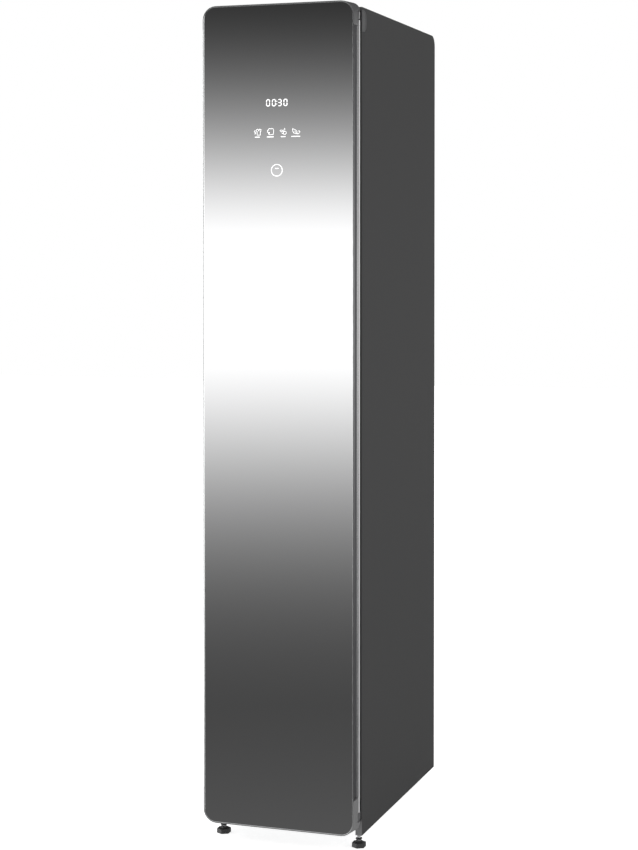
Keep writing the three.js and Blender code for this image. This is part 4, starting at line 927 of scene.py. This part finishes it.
# Distance from the side and height of the rounded lower edge
TANK_FOOT = ((0.0016, 0), (0.0005, 0.0005), (0, 0.0016))
BANDS = 5
BAND_DEPTH = 0.0009
BAND_HEIGHT = 0.004
MARKS = 7
MARK_FIRST_STEP = 1.5
MARK_MARGIN = 0.006
MARK_HEIGHT = 0.0009
MARK_RELIEF = 0.0001
LONG_MARK = 0.014
SHORT_MARK = 0.008
SHORT_MARK_LIFT = 0.0025


def tank_profile(bottom, top):
    """Distance from the side and height, up the outside with its bands and down the inside."""
    profile = [(inset, bottom + height) for inset, height in TANK_FOOT]
    half = BAND_HEIGHT / 2
    for i in range(1, BANDS + 1):
        z = bottom + (top - bottom) * i / (BANDS + 1)
        profile += [(0, z - half - BAND_DEPTH), (BAND_DEPTH, z - half)]
        profile += [(BAND_DEPTH, z + half), (0, z + half + BAND_DEPTH)]
    inner_floor = bottom + TANK_WALL
    profile += [(0, top), (TANK_WALL, top)]
    profile += [(TANK_WALL, inner_floor + TANK_FILLET), (TANK_WALL + TANK_FILLET, inner_floor)]
    return profile


def water_tank(name):
    node = f"{name}_tank"
    body = NODE_BODY[node]
    (x0, y0, z0), (x1, y1, z1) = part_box(node)

    def ring(inset, z):
        corner = TANK_CORNER - min(inset, TANK_WALL)
        loop = rounded_loop(x0 + inset, x1 - inset, y0 + inset, y1 - inset, corner, TANK_CORNER_STEPS)
        return [(x, y, z) for x, y in loop]

    bm = bmesh.new()
    capped(bm, [ring(inset, z) for inset, z in tank_profile(z0, z1)])
    shell = piece_from(bm, f"{node}_shell", body, "tank")
    shade(shell, TANK_SHARP)
    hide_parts(node)

    bm = bmesh.new()
    step = (z1 - z0) / (BANDS + 1) / 2
    right = x1 - TANK_CORNER - MARK_MARGIN
    for i in range(MARKS):
        short = i % 2
        z = z0 + step * (MARK_FIRST_STEP + i) + (SHORT_MARK_LIFT if short else 0)
        width = SHORT_MARK if short else LONG_MARK
        corners = rectangle(right - width, z, right, z + MARK_HEIGHT)
        layers = (y0 + MARK_RELIEF, y0 - MARK_RELIEF)
        capped(bm, [[(x, y, height) for x, height in corners] for y in layers])
    piece_from(bm, f"{node}_level_marks", body, "tank", MARK)


# Screws: domed heads with a black cross as painted shade for a cross recess, and the sheets they hold

HEAD_RADIUS = 0.0042
HEAD_RISE = 0.0006
HEAD_SIDES = 24
HEAD_SHARP = 50
# Shares of the head's radius and of its rise
HEAD_PROFILE = ((1, 0), (1, 0.3), (0.82, 0.8), (0.5, 1))
SLOT_HALF_LENGTH = 0.42 * HEAD_RADIUS
SLOT_HALF_WIDTH = 0.1 * HEAD_RADIUS
CROSS_SHADE_LEVELS = (0.5 * HEAD_RISE, 1.02 * HEAD_RISE)
HEAD_ROOM = 1.1 * HEAD_RISE
BACK_ROUNDING = 0.0004
BACK_FACE_DEPTH = 0.0001
BACK_SCREW_ROWS = 7
BACK_SCREW_INSET = 0.009
BACK_SCREW_MARGIN = 0.02
CRADLE_PLATE = 0.003
CRADLE_SCREW_MARGIN = 0.007


def screw(name, body, place, outward, finish):
    """A low domed head with a black cross in it, painted shade that stands for its cross recess."""
    turn = Vector((0, 0, 1)).rotation_difference(Vector(outward)).to_matrix().to_4x4()
    seat = Matrix.Translation(place) @ turn

    bm = bmesh.new()
    turned(bm, (0, 0), [(HEAD_RADIUS * wide, HEAD_RISE * high) for wide, high in HEAD_PROFILE], HEAD_SIDES)
    bmesh.ops.transform(bm, matrix=seat, verts=bm.verts)
    shade(piece_from(bm, name, body, "bare_steel", finish), HEAD_SHARP)

    # Painted shade: a black cross stands for the shade inside the cross recess
    bm = bmesh.new()
    for half_x, half_y in ((SLOT_HALF_LENGTH, SLOT_HALF_WIDTH), (SLOT_HALF_WIDTH, SLOT_HALF_LENGTH)):
        corners = rectangle(-half_x, -half_y, half_x, half_y)
        capped(bm, [[(x, y, z) for x, y in corners] for z in CROSS_SHADE_LEVELS])
    bmesh.ops.transform(bm, matrix=seat, verts=bm.verts)
    piece_from(bm, f"{name}_slot", body, "black_plastic")


def back_panel():
    """The back sheet, set in by the height of its screw heads."""
    panel = refined("back_panel", BACK_ROUNDING)
    (x0, _, z0), (x1, y1, z1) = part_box("back_panel")
    face = y1 - HEAD_ROOM
    for vertex in panel.data.vertices:
        if vertex.co.y > y1 - BACK_FACE_DEPTH:
            vertex.co.y = face
    low = z0 + BACK_SCREW_MARGIN
    height = z1 - BACK_SCREW_MARGIN - low
    for side, x in (("left", x0 + BACK_SCREW_INSET), ("right", x1 - BACK_SCREW_INSET)):
        for i in range(BACK_SCREW_ROWS):
            z = low + height * i / (BACK_SCREW_ROWS - 1)
            screw(f"back_screw_{side}_{i}", "cabinet", (x, face, z), (0, 1, 0), DARK_STEEL)


def cradle_screws():
    finish = FINISHES["bright_trim"]
    for side, hand in (("left", 1), ("right", -1)):
        (x0, y0, z0), (x1, y1, z1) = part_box(f"rail_cradle_{side}")
        wall = x1 if hand < 0 else x0
        x, y = wall + hand * CRADLE_PLATE, (y0 + y1) / 2
        for end, z in (("upper", z1 - CRADLE_SCREW_MARGIN), ("lower", z0 + CRADLE_SCREW_MARGIN)):
            screw(f"cradle_{side}_{end}_screw", "cabinet", (x, y, z), (hand, 0, 0), finish)


# Contact pins of the mains inlet, from the middle of its socket

PIN_LENGTH = 0.012
PIN_SEAT = 0.003
PIN_HALF_WIDTH = 0.0009
PIN_HALF_HEIGHT = 0.0026
PIN_ROUNDING = 0.0003
PIN_PLACES = ((-0.007, -0.003), (0.007, -0.003), (0, 0.003))


def inlet_pins():
    (x0, y0, z0), (x1, _, z1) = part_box("power_inlet")
    start = y0 + PIN_SEAT
    section = rectangle(-PIN_HALF_WIDTH, -PIN_HALF_HEIGHT, PIN_HALF_WIDTH, PIN_HALF_HEIGHT)
    bm = bmesh.new()
    for x, z in PIN_PLACES:
        corners = moved(section, (x0 + x1) / 2 + x, (z0 + z1) / 2 + z)
        capped(bm, [[(px, y, pz) for px, pz in corners] for y in (start, start + PIN_LENGTH)])
    soften(piece_from(bm, "inlet_pins", "cabinet", "bright_trim"), PIN_ROUNDING)


# Studio. The floor glows more to the camera than to the part

FLOOR_HALF = 14
FLOOR_SEEN_GLOW = 0.76
FLOOR_GLOW = 0.4


def floor():
    """A pale floor that reads white to the camera and keeps the shadow."""
    bm = bmesh.new()
    bmesh.ops.create_grid(bm, x_segments=1, y_segments=1, size=FLOOR_HALF)
    mesh = bpy.data.meshes.new("floor")
    bm.to_mesh(mesh)
    bm.free()
    plane = bpy.data.objects.new("floor", mesh)
    scene.collection.objects.link(plane)
    finish = Finish("floor", (0.9, 0.9, 0.9), roughness=0.9, Emission_Color=WHITE)
    path = finish.nodes.new("ShaderNodeLightPath")
    lift = finish.nodes.new("ShaderNodeMath")
    lift.operation = "MULTIPLY_ADD"
    lift.inputs[1].default_value = FLOOR_SEEN_GLOW - FLOOR_GLOW
    lift.inputs[2].default_value = FLOOR_GLOW
    finish.links.new(path.outputs["Is Camera Ray"], lift.inputs[0])
    finish.links.new(lift.outputs[0], finish.shader.inputs["Emission Strength"])
    mesh.materials.append(finish.material)
    plane.visible_glossy = False


# Reflected light: a peak near the horizon that falls off above and below it, elevations in degrees

PEAK = 2.1
PEAK_LIMIT = 1.75
ABOVE_CENTRE = -1.4
ABOVE_SOFTNESS = 4.5
ABOVE_DARK = 0.02
BELOW_CENTRE = -0.6
BELOW_SOFTNESS = 5.7
BELOW_DARK = 0.09
CEILING_START = 9.0
CEILING_RISE = 0.003
FLOOR_START = 13.5
FLOOR_RISE = 0.013
LEFT_BOX = 2.6
LEFT_BOX_EDGE = 0.9
LEFT_BOX_FULL = 0.95
AMBIENT = 0.72


def studio_world():
    """White to the camera, even on matt surfaces. Reflections see a bright horizon and a box on the left."""
    world = bpy.data.worlds.new("studio")
    scene.world = world
    world.use_nodes = True
    nodes, links = world.node_tree.nodes, world.node_tree.links
    nodes.clear()

    def math_node(operation, *values):
        node = nodes.new("ShaderNodeMath")
        node.operation = operation
        for socket, value in zip(node.inputs, values):
            if isinstance(value, (int, float)):
                socket.default_value = value
            else:
                links.new(value, socket)
        return node.outputs[0]

    direction = nodes.new("ShaderNodeTexCoord").outputs["Generated"]
    split = nodes.new("ShaderNodeSeparateXYZ")
    links.new(direction, split.inputs[0])
    elevation = math_node("MULTIPLY", math_node("ARCSINE", split.outputs["Z"]), math.degrees(1))

    def side(distance, softness, dark, start, rise):
        """A bell that falls to a dark level, from where a slow rise starts."""
        share = math_node("DIVIDE", math_node("MAXIMUM", distance, 0), softness)
        fall = math_node("EXPONENT", math_node("MULTIPLY", math_node("MULTIPLY", share, share), -1))
        glow = math_node("MULTIPLY_ADD", fall, PEAK - dark, dark)
        beyond = math_node("MAXIMUM", math_node("SUBTRACT", distance, start), 0)
        return math_node("MULTIPLY_ADD", beyond, rise, glow)

    above = side(math_node("SUBTRACT", elevation, ABOVE_CENTRE), ABOVE_SOFTNESS, ABOVE_DARK,
                 CEILING_START - ABOVE_CENTRE, CEILING_RISE)
    below = side(math_node("SUBTRACT", BELOW_CENTRE, elevation), BELOW_SOFTNESS, BELOW_DARK,
                 FLOOR_START + BELOW_CENTRE, FLOOR_RISE)
    band = math_node("MINIMUM", math_node("MINIMUM", above, below), PEAK_LIMIT)
    box = nodes.new("ShaderNodeMapRange")
    box.inputs["From Min"].default_value = LEFT_BOX_EDGE
    box.inputs["From Max"].default_value = LEFT_BOX_FULL
    box.inputs["To Max"].default_value = LEFT_BOX
    links.new(math_node("MULTIPLY", split.outputs["X"], -1), box.inputs["Value"])
    reflected = math_node("MAXIMUM", band, box.outputs["Result"])

    path = nodes.new("ShaderNodeLightPath")
    glossy = path.outputs["Is Glossy Ray"]
    clear = math_node("MAXIMUM", path.outputs["Is Camera Ray"], path.outputs["Is Transmission Ray"])
    seen = math_node("MAXIMUM", math_node("MULTIPLY", glossy, reflected), clear)
    matt = math_node("SUBTRACT", 1, math_node("MAXIMUM", glossy, clear))
    strength = math_node("ADD", seen, math_node("MULTIPLY", matt, AMBIENT))
    background = nodes.new("ShaderNodeBackground")
    background.inputs["Color"].default_value = WHITE
    links.new(strength, background.inputs["Strength"])
    output = nodes.new("ShaderNodeOutputWorld")
    links.new(background.outputs[0], output.inputs["Surface"])


LAMP_AIM = Vector((0, 0, 1))
LAMP_SIZE = 2.4
# Place and power of each lamp
LAMPS = {"front_left": ((-2.6, -3.4, 3.2), 45), "right": ((3.4, -1.4, 2.6), 25)}


def lamp(name, place, power):
    data = bpy.data.lights.new(name, "AREA")
    data.size = LAMP_SIZE
    data.energy = power
    light = bpy.data.objects.new(name, data)
    scene.collection.objects.link(light)
    light.location = place
    light.rotation_euler = (LAMP_AIM - Vector(place)).to_track_quat("-Z", "Y").to_euler()
    light.visible_glossy = False
    light.visible_camera = False


def studio():
    scene.view_settings.view_transform = "Standard"
    studio_world()
    floor()
    for name, (place, power) in LAMPS.items():
        lamp(name, place, power)


make_camera()
finish_nodes()
display(door_glass())
door_gasket()
back_panel()
cradle_screws()
inlet_pins()
for tank in ("supply", "drain"):
    water_tank(tank)
for foot in ("front_left", "front_right", "rear_left", "rear_right"):
    levelling_foot(foot)
studio()
